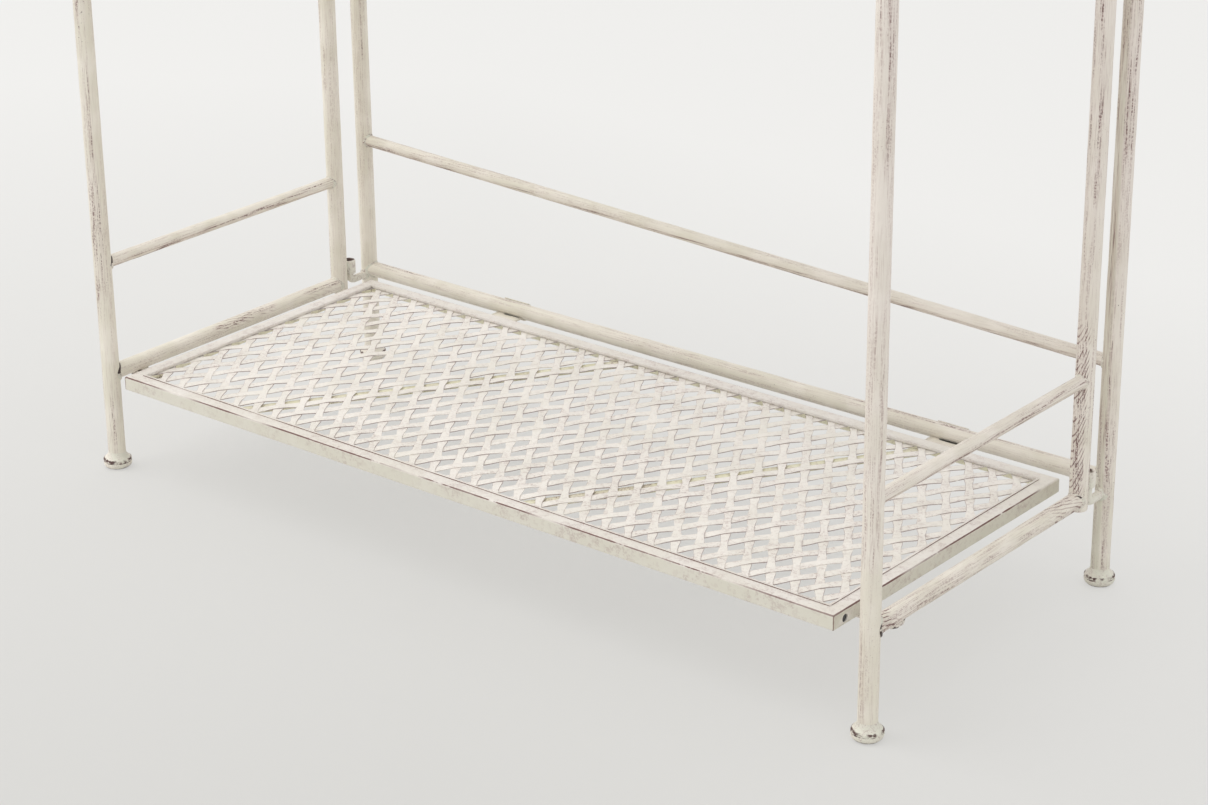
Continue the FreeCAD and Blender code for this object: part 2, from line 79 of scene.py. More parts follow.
lamp_aim = Vector((0.0, 0.0, 0.2))
lamp = bpy.data.objects.new("lamp", bpy.data.lights.new("lamp", "AREA"))
scene.collection.objects.link(lamp)
lamp.data.size = 2.4
lamp.data.energy = 40.0
lamp.data.color = (1.0, 0.985, 0.96)
lamp.location = (-1.7, -1.1, 2.9)
lamp.rotation_euler = (lamp_aim - lamp.location).to_track_quat("-Z", "Y").to_euler()


def feed(tree, socket, value):
    """Sets a socket to a value, or links it."""
    if isinstance(value, bpy.types.NodeSocket):
        tree.links.new(value, socket)
    else:
        socket.default_value = value


def put(tree, kind, settings=None, **inputs):
    """Adds a shader node with its settings and its inputs, each a value or a link."""
    node = tree.nodes.new(kind)
    for name, value in (settings or {}).items():
        setattr(node, name, value)
    for name, value in inputs.items():
        feed(tree, node.inputs[name.replace("_", " ")], value)
    return node


def reckon(tree, operation, first, others):
    """Takes each of the others into the first in turn, and holds what comes out between 0 and 1."""
    for other in others:
        node = put(tree, "ShaderNodeMath", {"operation": operation, "use_clamp": True})
        feed(tree, node.inputs[0], first)
        feed(tree, node.inputs[1], other)
        first = node.outputs[0]
    return first


def times(tree, first, *others):
    """Multiplies values or links."""
    return reckon(tree, "MULTIPLY", first, others)


def plus(tree, first, *others):
    """Adds values or links up."""
    return reckon(tree, "ADD", first, others)


def over(tree, share, under, colour):
    """Lays a colour over another by a share."""
    node = put(tree, "ShaderNodeMix", {"data_type": "RGBA"})
    for index, value in ((0, share), (6, under), (7, colour)):
        feed(tree, node.inputs[index], value)
    return node.outputs[2]


# The floor glows for the camera, so the stand's shadow on it stays faint, and the glow carries painted light:
# darker near the stand, lighter far off and towards the right, for the fall-off of the room's light.
FLOOR_NEAR = (0.606, 0.602, 0.582, 1.0)
FLOOR_FAR = (0.855, 0.85, 0.835, 1.0)
floor_half = 9.0
floor_glow_share = 0.7
away = (-0.635, 0.772, 0.0)
rightwards = (0.772, 0.635, 0.0)
floor_paint = bpy.data.materials.new("pale floor")
floor_paint.use_nodes = True
floor_tree = floor_paint.node_tree
floor_face = floor_tree.nodes["Principled BSDF"]
floor_face.inputs["Base Color"].default_value = (0.785, 0.778, 0.758, 1.0)
floor_face.inputs["Roughness"].default_value = 0.7
floor_place = put(floor_tree, "ShaderNodeTexCoord").outputs["Object"]


def floor_fade(way, start, end, most=1.0):
    """How far along a way the floor lies: nothing at start, and most at end."""
    run = put(floor_tree, "ShaderNodeVectorMath", {"operation": "DOT_PRODUCT"})
    feed(floor_tree, run.inputs[0], floor_place)
    feed(floor_tree, run.inputs[1], way)
    limits = {"From_Min": start, "From_Max": end, "To_Max": most}
    return put(floor_tree, "ShaderNodeMapRange", None, Value=run.outputs["Value"], **limits).outputs[0]


painted_light_falloff = plus(floor_tree, floor_fade(away, -0.5, 1.1), floor_fade(rightwards, -0.1, 0.5, 0.4))
floor_glow = put(
    floor_tree, "ShaderNodeEmission", None, Color=over(floor_tree, painted_light_falloff, FLOOR_NEAR, FLOOR_FAR)
)
seen = put(floor_tree, "ShaderNodeLightPath").outputs["Is Camera Ray"]
floor_mix = put(floor_tree, "ShaderNodeMixShader", None, Fac=times(floor_tree, seen, floor_glow_share))
feed(floor_tree, floor_mix.inputs[1], floor_face.outputs[0])
feed(floor_tree, floor_mix.inputs[2], floor_glow.outputs[0])
feed(floor_tree, floor_tree.nodes["Material Output"].inputs["Surface"], floor_mix.outputs[0])

floor_shape = bmesh.new()
bmesh.ops.create_grid(floor_shape, x_segments=2, y_segments=2, size=floor_half)
floor_mesh = bpy.data.meshes.new("floor")
floor_shape.to_mesh(floor_mesh)
floor_shape.free()
floor_mesh.materials.append(floor_paint)
floor = bpy.data.objects.new("floor", floor_mesh)
scene.collection.objects.link(floor)


# The uprights: six lengths of half-inch iron tube, brush-painted in antique cream over a brown primer and
# rubbed back along their length, so that the primer shows in streaks. Two stand in the back frame, two in
# each side frame.
def step(tree, value, low, high, top=1.0):
    """Adds a soft step of a value, from nothing at low to top at high."""
    limits = {"From_Min": low, "From_Max": high, "To_Max": top}
    return put(
        tree, "ShaderNodeMapRange", {"interpolation_type": "SMOOTHSTEP"}, Value=value, **limits
    ).outputs[0]


def grain(tree, vector, size, detail=2.0, rough=0.55):
    """Adds an even noise; the larger the size, the finer it is."""
    return put(
        tree, "ShaderNodeTexNoise", None, Vector=vector, Scale=size, Detail=detail, Roughness=rough
    ).outputs[0]


def blotches(tree, vector, size, low, high, top=1.0, detail=1.0, rough=0.55):
    """Adds soft-edged blotches: noise, cut off below low and full above high."""
    return step(tree, grain(tree, vector, size, detail, rough), low, high, top)


def make_rubbing():
    """The wear of brushed and rubbed paint, stretched along the piece: bands, thin lines, chips."""
    group = bpy.data.node_groups.new("rubbed paint", "ShaderNodeTree")
    for name in ("Stretched", "Slanted", "Place"):
        group.interface.new_socket(name, in_out="INPUT", socket_type="NodeSocketVector")
    for name in ("Wear", "Hatch"):
        group.interface.new_socket(name, in_out="INPUT", socket_type="NodeSocketFloat")
    for name in ("Band", "Line", "Chip", "Tone", "Relief"):
        group.interface.new_socket(name, in_out="OUTPUT", socket_type="NodeSocketFloat")
    start = group.nodes.new("NodeGroupInput").outputs
    end = group.nodes.new("NodeGroupOutput").inputs
    stretched, place = start["Stretched"], start["Place"]

    # Bands where the rubbing went deep, and in them the primer's broken lines; faint lines and dots all over
    zone = blotches(group, place, 7.0, 0.38, 0.62, 0.5)
    amount = times(group, start["Wear"], plus(group, zone, 0.5))
    band = times(group, blotches(group, stretched, 0.42, 0.42, 0.57), amount)
    fibre = grain(group, stretched, 2.4, 3.0, 0.6)
    broken = plus(group, times(group, blotches(group, place, 750.0, 0.42, 0.56), 0.8), 0.2)
    streaks = times(group, band, times(group, step(group, fibre, 0.50, 0.57), broken))
    faint = times(group, amount, blotches(group, stretched, 3.4, 0.56, 0.64, 0.4))
    dots = times(group, blotches(group, place, 1250.0, 0.67, 0.73), blotches(group, place, 20.0, 0.5, 0.62))

    # The slanted, wavering strokes of a stiff brush
    ripple = put(group, "ShaderNodeTexNoise", None, Vector=place, Scale=70.0, Detail=1.0).outputs[1]
    waver = put(group, "ShaderNodeVectorMath", {"operation": "MULTIPLY_ADD"})
    for socket, value in zip(waver.inputs, (ripple, (3.0, 3.0, 3.0), start["Slanted"])):
        feed(group, socket, value)
    slants = {"bands_direction": "DIAGONAL"}
    wave = put(group, "ShaderNodeTexWave", slants, Vector=waver.outputs[0], Scale=0.1414).outputs[1]
    strokes = times(
        group, step(group, wave, 0.68, 0.95), blotches(group, place, 150.0, 0.36, 0.52), start["Hatch"]
    )

    line = plus(group, streaks, faint, plus(group, times(group, dots, amount), strokes))
    chip = times(
        group,
        blotches(group, place, 640.0, 0.66, 0.70, detail=2.0, rough=0.6),
        blotches(group, place, 24.0, 0.57, 0.67),
        times(group, start["Wear"], step(group, fibre, 0.47, 0.55)),
    )
    sunken = times(group, plus(group, line, chip), 0.5)
    relief = reckon(group, "SUBTRACT", times(group, fibre, 0.7), [sunken])
    tone = grain(group, place, 34.0)
    for name, value in (("Band", band), ("Line", line), ("Chip", chip), ("Tone", tone), ("Relief", relief)):
        feed(group, end[name], value)
    return group


rubbing = make_rubbing()
PINKISH = (0.765, 0.69, 0.665, 1.0)
BROWNED = (0.665, 0.585, 0.55, 1.0)
GREY_GREEN = (0.58, 0.57, 0.455, 1.0)
PAINTED_LIGHT_INSIDE = (0.95, 0.92, 0.72, 1.0)
STAINED = (0.50, 0.415, 0.33, 1.0)
PRIMER = (0.342, 0.231, 0.216, 1.0)
DARK_PRIMER = (0.117, 0.055, 0.048, 1.0)
BARE_IRON = (0.048, 0.022, 0.019, 1.0)


def make_paint(
    name, stretch, wear, light, shade, wear_and_shade_colour=None, patch=14.0, slant=(1.0, 1.0, 1.0), blush=0.0
):
    """Worn paint whose lines run along the piece.

    A rub colour bares the iron, in patches, where the mesh carries rub, and paints shadow lines and slits as
    well.

    A blush turns the coat pinker towards the right-hand side of the stand, but not near the floor.
    """
    paint = bpy.data.materials.new(name)
    paint.use_nodes = True
    tree = paint.node_tree
    surface = tree.nodes["Principled BSDF"].inputs
    place = put(tree, "ShaderNodeTexCoord").outputs["Object"]
    stretched, slanted = (
        put(tree, "ShaderNodeMapping", None, Vector=place, Scale=scale).outputs[0]
        for scale in (stretch, slant)
    )
    hatch, stain, calm, wear_and_shade, tint, score, inner = (
        put(tree, "ShaderNodeAttribute", {"attribute_name": layer}).outputs["Fac"]
        for layer in ("hatch", "stain", "calm", "wear_and_shade", "tint", "score", "inner")
    )
    wear_here = times(tree, reckon(tree, "SUBTRACT", 1.0, [calm]), wear)
    ways = {"Stretched": stretched, "Slanted": slanted, "Place": place}
    worn = put(tree, "ShaderNodeGroup", {"node_tree": rubbing}, Wear=wear_here, Hatch=hatch, **ways).outputs

    ragged = grain(tree, stretched, 0.9, 3.0, 0.6)
    stain = times(tree, stain, step(tree, ragged, 0.36, 0.60))
    stain_lines = times(tree, stain, blotches(tree, stretched, 2.0, 0.48, 0.60, detail=2.0))
    dashes = times(
        tree,
        plus(tree, blotches(tree, place, 520.0, 0.40, 0.54, 0.65, detail=2.0), 0.35),
        blotches(tree, stretched, 1.7, 0.44, 0.54, detail=3.0, rough=0.6),
    )
    line = plus(tree, worn["Line"], stain_lines, times(tree, score, dashes))

    spot = put(tree, "ShaderNodeSeparateXYZ", None, Vector=place).outputs
    pink = times(tree, step(tree, spot["X"], -0.1, 0.3, blush), step(tree, spot["Z"], 0.0, 0.32))
    colour = over(tree, step(tree, worn["Tone"], 0.38, 0.62), light, shade)
    for share, coat in (
        (pink, PINKISH),
        (times(tree, worn["Band"], 0.3), BROWNED),
        # Painted shade on the outside of the shelf frames' skirts, and a grey-green cast on one back post.
        (times(tree, tint, 0.7), GREY_GREEN),
        # Painted light on the inside of the shelf frames' skirts.
        (inner, PAINTED_LIGHT_INSIDE),
        (times(tree, stain, 0.45), STAINED),
        (times(tree, line, 0.85), PRIMER),
        (step(tree, line, 0.70, 1.0, 0.75), DARK_PRIMER),
    ):
        colour = over(tree, share, colour, coat)
    if wear_and_shade_colour:
        bared = step(tree, times(tree, wear_and_shade, times(tree, ragged, 1.5)), 0.42, 0.60)
        bared = times(tree, bared, blotches(tree, place, patch, 0.36, 0.54))
        colour = over(tree, plus(tree, bared, step(tree, wear_and_shade, 1.2, 1.6)), colour, wear_and_shade_colour)
    colour = over(tree, times(tree, worn["Chip"], 0.9), colour, BARE_IRON)
    feed(tree, surface["Base Color"], colour)
    dull = put(tree, "ShaderNodeMapRange", None, Value=line, To_Min=0.48, To_Max=0.72)
    feed(tree, surface["Roughness"], dull.outputs[0])
    bump = put(tree, "ShaderNodeBump", None, Height=worn["Relief"], Strength=0.3, Distance=0.0005)
    feed(tree, surface["Normal"], bump.outputs[0])
    return paint


ACROSS = 640.0
ALONG = 17.0
CREAM = (0.79, 0.745, 0.655, 1.0)
OLIVE = (0.725, 0.685, 0.58, 1.0)
upright_paint = make_paint(
    "cream on uprights",
    stretch=(ACROSS, ACROSS, ALONG),
    wear=1.0,
    light=CREAM,
    shade=OLIVE,
    slant=(1700.0, 1700.0, -850.0),
    blush=0.4,
)


def show(shape, name, body, nodes, paint, crease=38.0):
    """Turns a finished shape into a piece that rides on a body and stands for its CAD nodes."""
    bmesh.ops.recalc_face_normals(shape, faces=shape.faces[:])
    mesh = bpy.data.meshes.new(name)
    shape.to_mesh(mesh)
    shape.free()
    mesh.shade_smooth()
    mesh.set_sharp_from_angle(angle=math.radians(crease))
    mesh.materials.append(paint)
    piece = bpy.data.objects.new(name, mesh)
    scene.collection.objects.link(piece)
    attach(piece, body)
    if nodes:
        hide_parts(*nodes)
    return piece


HAIR = 1e-6
UP = Vector((0.0, 0.0, 1.0))
bar_sink = 0.0004
bar_dents = ((0.00011, 70.0), (0.00007, 260.0))


def make_bar(start, end, radius, sides, spacing, wear_at, seat=None):
    """A round bar with slightly uneven faces.

    A seat is the radius of the uprights that its ends are cut to fit.

    The wear function gives the layers and values of wear at a place of the bar, from the place and the way
    out there.
    """
    length = (end - start).length
    along = (end - start).normalized()
    shape = bmesh.new()
    layers = {
        name: shape.verts.layers.float.new(name) for name in ("hatch", "stain", "calm", "tint", "score")
    }
    bmesh.ops.create_cone(shape, cap_ends=True, segments=sides, radius1=radius, radius2=radius, depth=length)
    bmesh.ops.translate(shape, verts=shape.verts[:], vec=(0.0, 0.0, length / 2))
    lengthways = [edge for edge in shape.edges if edge.calc_length() > length / 2]
    bmesh.ops.subdivide_edges(shape, edges=lengthways, cuts=max(2, int(length / spacing)))
    side = Vector((1.0, 0.0, 0.0))
    if seat:
        side = UP.cross(along).normalized()
        for vert in shape.verts:
            inset = math.sqrt(seat**2 - vert.co.x**2) - bar_sink
            if vert.co.z < HAIR:
                vert.co.z = inset
            elif vert.co.z > length - HAIR:
                vert.co.z = length - inset
    turned = Matrix((side, along.cross(side), along)).transposed().to_4x4()
    bmesh.ops.transform(shape, matrix=Matrix.Translation(start) @ turned, verts=shape.verts[:])
    for vert in shape.verts:
        middle = start + along * (vert.co - start).dot(along)
        out = (vert.co - middle).normalized()
        for layer, value in wear_at(vert.co, out):
            vert[layers[layer]] = value
        vert.co += out * sum(depth * noise.noise(vert.co * fineness) for depth, fineness in bar_dents)
    return shape


def inside(value, low, high, soft):
    """How far a value lies inside a range: 0 at its ends, 1 from a soft width inside them."""
    return max(0.0, min(1.0, (value - low) / soft, (high - value) / soft))


# Wear that stays on one side of an upright: its layer, two heights and two angles round the tube. Above the
# first tier it comes again, one tier up.
upright_wear = {
    "front_post_left": [
        ("calm", -1.0, 1.0, 340.0, 410.0), ("score", 0.016, 0.06, 288.0, 314.0),
        ("score", 0.10, 0.155, 246.0, 280.0),
        ("score", 0.23, 0.31, 298.0, 322.0), ("score", 0.33, 0.36, 266.0, 290.0),
    ],
    "front_post_right": [
        ("stain", 0.008, 0.076, 236.0, 276.0), ("score", 0.006, 0.078, 240.0, 274.0),
        ("score", 0.14, 0.28, 322.0, 344.0), ("score", 0.23, 0.32, 278.0, 300.0),
        ("calm", -0.1, 0.12, -30.0, 400.0),
        ("score", 0.39, 0.62, 260.0, 286.0), ("score", 0.35, 0.62, 310.0, 334.0),
    ],
    "rear_upright_left": [
        ("calm", -1.0, 1.0, -30.0, 400.0), ("score", 0.22, 0.275, 256.0, 290.0),
        ("score", 0.265, 0.33, 234.0, 262.0),
        ("score", 0.06, 0.13, 230.0, 258.0),
    ],
    "rear_upright_right": [
        ("hatch", 0.07, 0.20, 210.0, 322.0), ("score", 0.02, 0.06, 288.0, 312.0),
        ("score", 0.27, 0.36, 300.0, 322.0),
        ("score", 0.385, 0.5, 262.0, 286.0),
    ],
    "back_post_left": [
        ("calm", -1.0, 1.0, -30.0, 400.0), ("score", 0.24, 0.33, 314.0, 340.0),
        ("score", 0.175, 0.22, 294.0, 316.0),
        ("score", 0.25, 0.33, 232.0, 258.0),
    ],
    "back_post_right": [
        ("stain", 0.09, 0.41, 205.0, 284.0), ("tint", -1.0, 1.0, 196.0, 290.0),
        ("score", 0.010, 0.05, 298.0, 326.0),
        ("score", 0.10, 0.22, 276.0, 298.0), ("score", 0.29, 0.36, 290.0, 318.0),
        ("score", 0.38, 0.5, 274.0, 300.0),
    ],
}
upright_strength = {"calm": 0.6, "stain": 1.0, "hatch": 0.85, "tint": 0.7, "score": 0.68}
wear_fade_height = 0.012
wear_fade_angle = 7.0
first_tier_top = 0.6
tier_rise = round(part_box("shelf_2_weave")[0].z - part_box("shelf_1_weave")[0].z, 4)


def worn_upright(node):
    """The wear of one upright, for make_bar."""

    def wear_at(place, out):
        angle = math.degrees(math.atan2(out.y, out.x)) % 360.0
        height = place.z if place.z < first_tier_top else place.z - tier_rise
        most = dict.fromkeys(upright_strength, 0.0)
        for layer, low, high, first, last in upright_wear[node]:
            turn = angle + 360.0 if angle + 360.0 < last and angle < first else angle
            share = inside(height, low, high, wear_fade_height) * inside(turn, first, last, wear_fade_angle)
            most[layer] = max(most[layer], upright_strength[layer] * share)
        yield from most.items()

    return wear_at


uprights = {
    "back_frame": ("back_post_left", "back_post_right"),
    "left_side_frame": ("front_post_left", "rear_upright_left"),
    "right_side_frame": ("front_post_right", "rear_upright_right"),
}
upright_sides = 32
upright_spacing = 0.007
post_at = {}


def on_post(node, height):
    """The place at a height on an upright's middle line."""
    return Vector((post_at[node].x, post_at[node].y, height))


for body, nodes in uprights.items():
    for node in nodes:
        low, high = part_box(node)
        post_at[node] = (low + high) / 2
        post_radius = (high.x - low.x) / 2
        foot, top = on_post(node, low.z), on_post(node, high.z)
        tube = make_bar(foot, top, post_radius, upright_sides, upright_spacing, worn_upright(node))
        show(tube, f"{node}_tube", body, [node], upright_paint)


# The feet: turned iron knobs pressed into the four standing tubes. The band round the middle has a crease,
# and the paint is knocked off its edges where the stand was dragged about.
foot_paint = make_paint(
    "cream on feet",
    stretch=(520.0, 520.0, 520.0),
    wear=0.7,
    light=CREAM,
    shade=(0.71, 0.70, 0.60, 1.0),
    wear_and_shade_colour=(0.085, 0.042, 0.036, 1.0),
    patch=150.0,
)
foot_profile = [
    (0.0, 0.0, 0.0), (6.6, 0.0, 0.5), (8.4, 0.5, 0.95), (9.6, 1.6, 0.45), (10.15, 2.7, 0.1), (10.3, 3.6, 0.2),
    (10.3, 4.3, 0.45), (10.0, 5.0, 0.8), (10.3, 5.7, 0.6), (10.25, 6.5, 0.85), (9.95, 7.0, 1.0),
    (9.3, 7.5, 0.6),
    (8.5, 8.1, 0.2), (7.6, 8.9, 0.0), (6.95, 10.0, 0.0), (6.5, 11.2, 0.0), (6.3, 12.2, 0.0), (0.0, 12.2, 0.0),
]
foot_steps = 40
foot_sole = 0.0004
foot_dent_share = 0.03
foot_dent_fineness = 160.0


def add_turned(shape, profile, base, steps, closed=False):
    """Turns a profile about the upright line through base.

    Its points are a radius and a height in millimetres.

    On a shape that carries rub, each point gives the rub there as well.
    """
    wear_and_shade = shape.verts.layers.float.get("wear_and_shade")
    rim = []
    for radius, height, *rubbed in profile:
        vert = shape.verts.new((base.x + radius / 1000, base.y, base.z + height / 1000))
        if rubbed:
            vert[wear_and_shade] = rubbed[0]
        rim.append(vert)
    following = rim[1:] + rim[:1] if closed else rim[1:]
    edges = [shape.edges.new(pair) for pair in zip(rim, following)]
    bmesh.ops.spin(shape, geom=rim + edges, cent=base, axis=UP, angle=math.tau, steps=steps, use_merge=True)


foot_bodies = {
    "back_left": "back_frame",
    "back_right": "back_frame",
    "front_left": "left_side_frame",
    "front_right": "right_side_frame",
}
for corner, body in foot_bodies.items():
    low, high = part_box(f"foot_{corner}")
    base = Vector(((low.x + high.x) / 2, (low.y + high.y) / 2, low.z))
    knob = bmesh.new()
    knob.verts.layers.float.new("wear_and_shade")
    add_turned(knob, foot_profile, base, foot_steps)
    bmesh.ops.remove_doubles(knob, verts=knob.verts[:], dist=HAIR)
    for vert in knob.verts:
        if vert.co.z > foot_sole:
            out = Vector((vert.co.x - base.x, vert.co.y - base.y, 0.0))
            vert.co += out * (foot_dent_share * noise.noise(vert.co * foot_dent_fineness))
    show(knob, f"foot_{corner}_knob", body, [f"foot_{corner}"], foot_paint, crease=50.0)


# The rails: round iron bars welded between the tubes. On each tier a thick one carries the shelf and a thin
# one keeps the pots from falling off. They are painted with the tubes, so their streaks run along them too.
cross_paint = make_paint(
    "cream on back rails",
    stretch=(ALONG, ACROSS, ACROSS),
    wear=1.0,
    light=CREAM,
    shade=OLIVE,
    blush=0.5,
)
side_paint = make_paint(
    "cream on side rails",
    stretch=(ACROSS, ALONG, ACROSS),
    wear=1.0,
    light=CREAM,
    shade=OLIVE,
    slant=(-1300.0, 480.0, 1300.0),
    blush=0.4,
)
TIERS = (1, 2, 3)
HANDS = ("left", "right")
FORWARD = Vector((0.0, -1.0, 0.0))
RIGHT = Vector((1.0, 0.0, 0.0))
rail_sides = 28
rail_spacing = 0.008
score_half_width = 18.0
score_edge = 1.7


def trail(turn, middle):
    """How near a way round a bar, in degrees, lies to the middle of a line scored along it."""
    return min(1.0, max(0.0, score_edge * (1.0 - abs(turn - middle) / score_half_width)))


def worn_guard(place, turn, drift, patch, sideways):
    """The line scored along a guard rail: it winds round a side one, and changes sides on the back one."""
    if sideways:
        strength = 1.0 if place.x < 0.0 else 0.75
        return trail(turn, 2.0 - 357.0 * place.y + 24.0 * drift) * min(1.0, 0.4 + patch) * strength
    edge = trail(turn, (46.0 if place.x > -0.15 else -98.0) + 16.0 * drift) * patch
    return max(edge, trail(turn, 22.0 + 20.0 * drift) * inside(place.x, -0.4, -0.288, 0.01))


def worn_side_rail(place, out, turn, drift, patch):
    """Brush strokes and scores on a side shelf rail, near its ends and, on the left one, in the middle."""
    rear = inside(place.y, 0.055, 0.2, 0.012)
    front = inside(place.y, -0.2, -0.112, 0.01)
    middle = inside(place.y, -0.04, 0.03, 0.012)
    if place.x < 0.0:
        yield "hatch", max(0.3 * rear, 0.7 * middle * inside(out.z, 0.0, 1.3, 0.3))
        yield "score", trail(turn, -48.0 + 30.0 * drift) * max(middle, rear)
    else:
        yield "hatch", max(0.7 * rear, front)
        face = 0.5 * front * inside(turn, -60.0, 60.0, 30.0)
        yield "score", max(face, 0.6 * patch * trail(turn, 15.0 + 30.0 * drift))


def worn_rail(kind, facing):
    """The wear of a rail, for make_bar: low down on a guard rail, where it rubs on a shelf rail."""
    low_side = (facing * 0.9 - UP * 0.6).normalized()
    sideways = facing == RIGHT

    def wear_at(place, out):
        turn = math.degrees(math.atan2(-out.z, out.dot(facing)))
        drift = noise.noise(place * 45.0)
        patch = min(1.0, max(0.0, 0.6 + 1.6 * noise.noise(place * 14.0)))
        yield "calm", 0.5 * inside(place.x, -1.0, 0.5, 0.25)
        if kind == "guard":
            ragged = min(1.0, 0.85 + 0.9 * noise.noise(place * 22.0))
            yield "stain", inside(out.dot(low_side), 0.82, 1.3, 0.1) * ragged
            yield "score", worn_guard(place, turn, drift, patch, sideways)
        elif sideways:
            yield from worn_side_rail(place, out, turn, drift, patch)
        else:
            ends = max(inside(place.x, 0.1, 0.4, 0.03), inside(place.x, -0.4, -0.16, 0.03))
            yield "score", patch * trail(turn, -88.0 + 14.0 * drift) * ends

    return wear_at


joins = {"back_frame": [], "left_side_frame": [], "right_side_frame": []}


def add_rail(node, body, kind, facing, start, end, radius, paint):
    """A rail between two uprights' middle lines, with its two ends noted for the welds."""
    bar = make_bar(start, end, radius, rail_sides, rail_spacing, worn_rail(kind, facing), post_radius)
    show(bar, f"{node}_bar", body, [node], paint)
    onward = UP.cross(facing)
    joins[body] += [(start, onward, radius), (end, -onward, radius)]


for tier in TIERS:
    for kind in ("shelf", "guard"):
        node = f"back_{kind}_rail_{tier}"
        low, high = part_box(node)
        radius = (high.y - low.y) / 2
        start = on_post("back_post_left", high.z - radius)
        end = on_post("back_post_right", low.z + radius)
        add_rail(node, "back_frame", kind, FORWARD, start, end, radius, cross_paint)
        for hand in HANDS:
            node = f"{hand}_{kind}_rail_{tier}"
            low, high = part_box(node)
            radius = (high.x - low.x) / 2
            start = on_post(f"front_post_{hand}", (low.z + high.z) / 2)
            end = on_post(f"rear_upright_{hand}", (low.z + high.z) / 2)
            add_rail(node, f"{hand}_side_frame", kind, RIGHT, start, end, radius, side_paint)


# The welds: a lumpy bead of filler run round each rail where it meets its tube, painted over with the rest.
# Scale and pits show through as grey-green and dark spots.
weld_paint = make_paint(
    "cream on welds",
    stretch=(380.0, 380.0, 380.0),
    wear=1.0,
    light=(0.745, 0.715, 0.625, 1.0),
    shade=(0.64, 0.645, 0.55, 1.0),
    wear_and_shade_colour=(0.04, 0.022, 0.019, 1.0),
    patch=240.0,
)
bead_sides = 8
bead_steps = 22
bead_sink = 0.0003
thick_rail_radius = 0.005
pit_way = Vector((0.78, 0.0, 0.62))
pit_spread = 0.84
ridge_count = 7.0
ridge_waver = 3.0
ridge_cut = 0.25
hollow_share = 0.85
full_wear_and_shade = 2.0
bead_rub = 1.6
widest_share = 0.96
lump_fineness = 330.0
pimple_fineness = 900.0
speckle_fineness = 420.0
waver_fineness = 200.0


def add_weld(shape, wear_and_shade, at, out, ring, bead, wild, finish="plain"):
    """A bead of filler round a bar of radius ring, against the upright whose middle line passes through at.

    A pitted bead has a dark hollow above on the right, and a fanned one has dark ridges all round.
    """
    side = UP.cross(out)
    seam = at + out * post_radius
    lie = Matrix.Translation(seam + UP * ring) @ Matrix((out, UP, out.cross(UP))).transposed().to_4x4()
    circle = bmesh.ops.create_circle(shape, segments=bead_sides, radius=bead, matrix=lie)["verts"]
    edges = list({edge for vert in circle for edge in vert.link_edges})
    before = set(shape.verts) - set(circle)
    bmesh.ops.spin(
        shape, geom=circle + edges, cent=seam, axis=out, angle=math.tau, steps=bead_steps, use_merge=True
    )
    for vert in set(shape.verts) - before:
        spread = vert.co - seam
        radial = spread - out * spread.dot(out)
        core = seam + radial.normalized() * ring
        rough = noise.noise(vert.co * lump_fineness) + 0.5 * noise.noise(vert.co * pimple_fineness)
        lump = 1.0 + wild * rough
        waver = ridge_waver * noise.noise(vert.co * waver_fineness)
        ridge = ridge_count * math.atan2(radial.z, radial.dot(side)) + waver
        if finish == "pitted" and radial.normalized().dot(pit_way) > pit_spread:
            lump = hollow_share
            vert[wear_and_shade] = full_wear_and_shade
        elif finish == "fanned" and math.cos(ridge) > ridge_cut:
            lump *= hollow_share
            vert[wear_and_shade] = full_wear_and_shade
        else:
            vert[wear_and_shade] = max(0.0, bead_rub * noise.noise(vert.co * speckle_fineness))
        vert.co = core + (vert.co - core) * lump
        across = min(abs((vert.co - at).dot(side)), post_radius * widest_share)
        vert.co += out * (math.sqrt(post_radius**2 - across**2) - post_radius)


for body, ends in joins.items():
    beads = bmesh.new()
    wear_and_shade = beads.verts.layers.float.new("wear_and_shade")
    for at, out, radius in ends:
        at_front = out.y > 0.0
        if body == "right_side_frame" and at_front and radius > thick_rail_radius:
            bead, wild, finish = 0.0022, 0.75, "fanned"
        elif body == "left_side_frame" and at_front:
            bead, wild, finish = 0.0017, 0.45, "pitted"
        else:
            bead, wild, finish = 0.0012, 0.45, "plain"
        add_weld(beads, wear_and_shade, at, out, radius - bead_sink, bead, wild, finish)
    show(beads, f"{body}_welds", body, [], weld_paint, crease=60.0)


# The hinge pins: lengths of iron rod welded to the back posts, low down and at the top shelf. Each runs
# forward and is bent up, and the side frame's sleeve drops over it.
fitting_paint = make_paint(
    "worn cream on fittings",
    stretch=(300.0, 300.0, 200.0),
    wear=0.5,
    light=(0.79, 0.755, 0.675, 1.0),
    shade=(0.735, 0.715, 0.625, 1.0),
    wear_and_shade_colour=(0.09, 0.052, 0.045, 1.0),
    patch=120.0,
)
pin_sides = 18
pin_bend = 0.0045
pin_sink = 0.001
pin_tip = 0.0008
pin_tip_share = 0.72
pin_bearing = 0.004
pin_dent = 0.00025
pin_dent_fineness = 240.0
hinge_rises = (0.0, 2 * tier_rise)
hinge_joins = []
noise.seed_set(7)  # without it, noise_vector takes its start from the clock


def draw_on(shape, face, moves, keep_first=False):
    """Draws a face on through each of the moves. The first face stays only where it closes the other end."""
    for number, move in enumerate(moves):
        drawn = bmesh.ops.extrude_face_region(shape, geom=[face])["geom"]
        if number or not keep_first:
            bmesh.ops.delete(shape, geom=[face], context="FACES_ONLY")
        face = next(item for item in drawn if isinstance(item, bmesh.types.BMFace))
        bmesh.ops.transform(shape, matrix=move, verts=face.verts[:])


def about(centre, change):
    """A turn or a change of size about a centre."""
    return Matrix.Translation(centre) @ change @ Matrix.Translation(-centre)


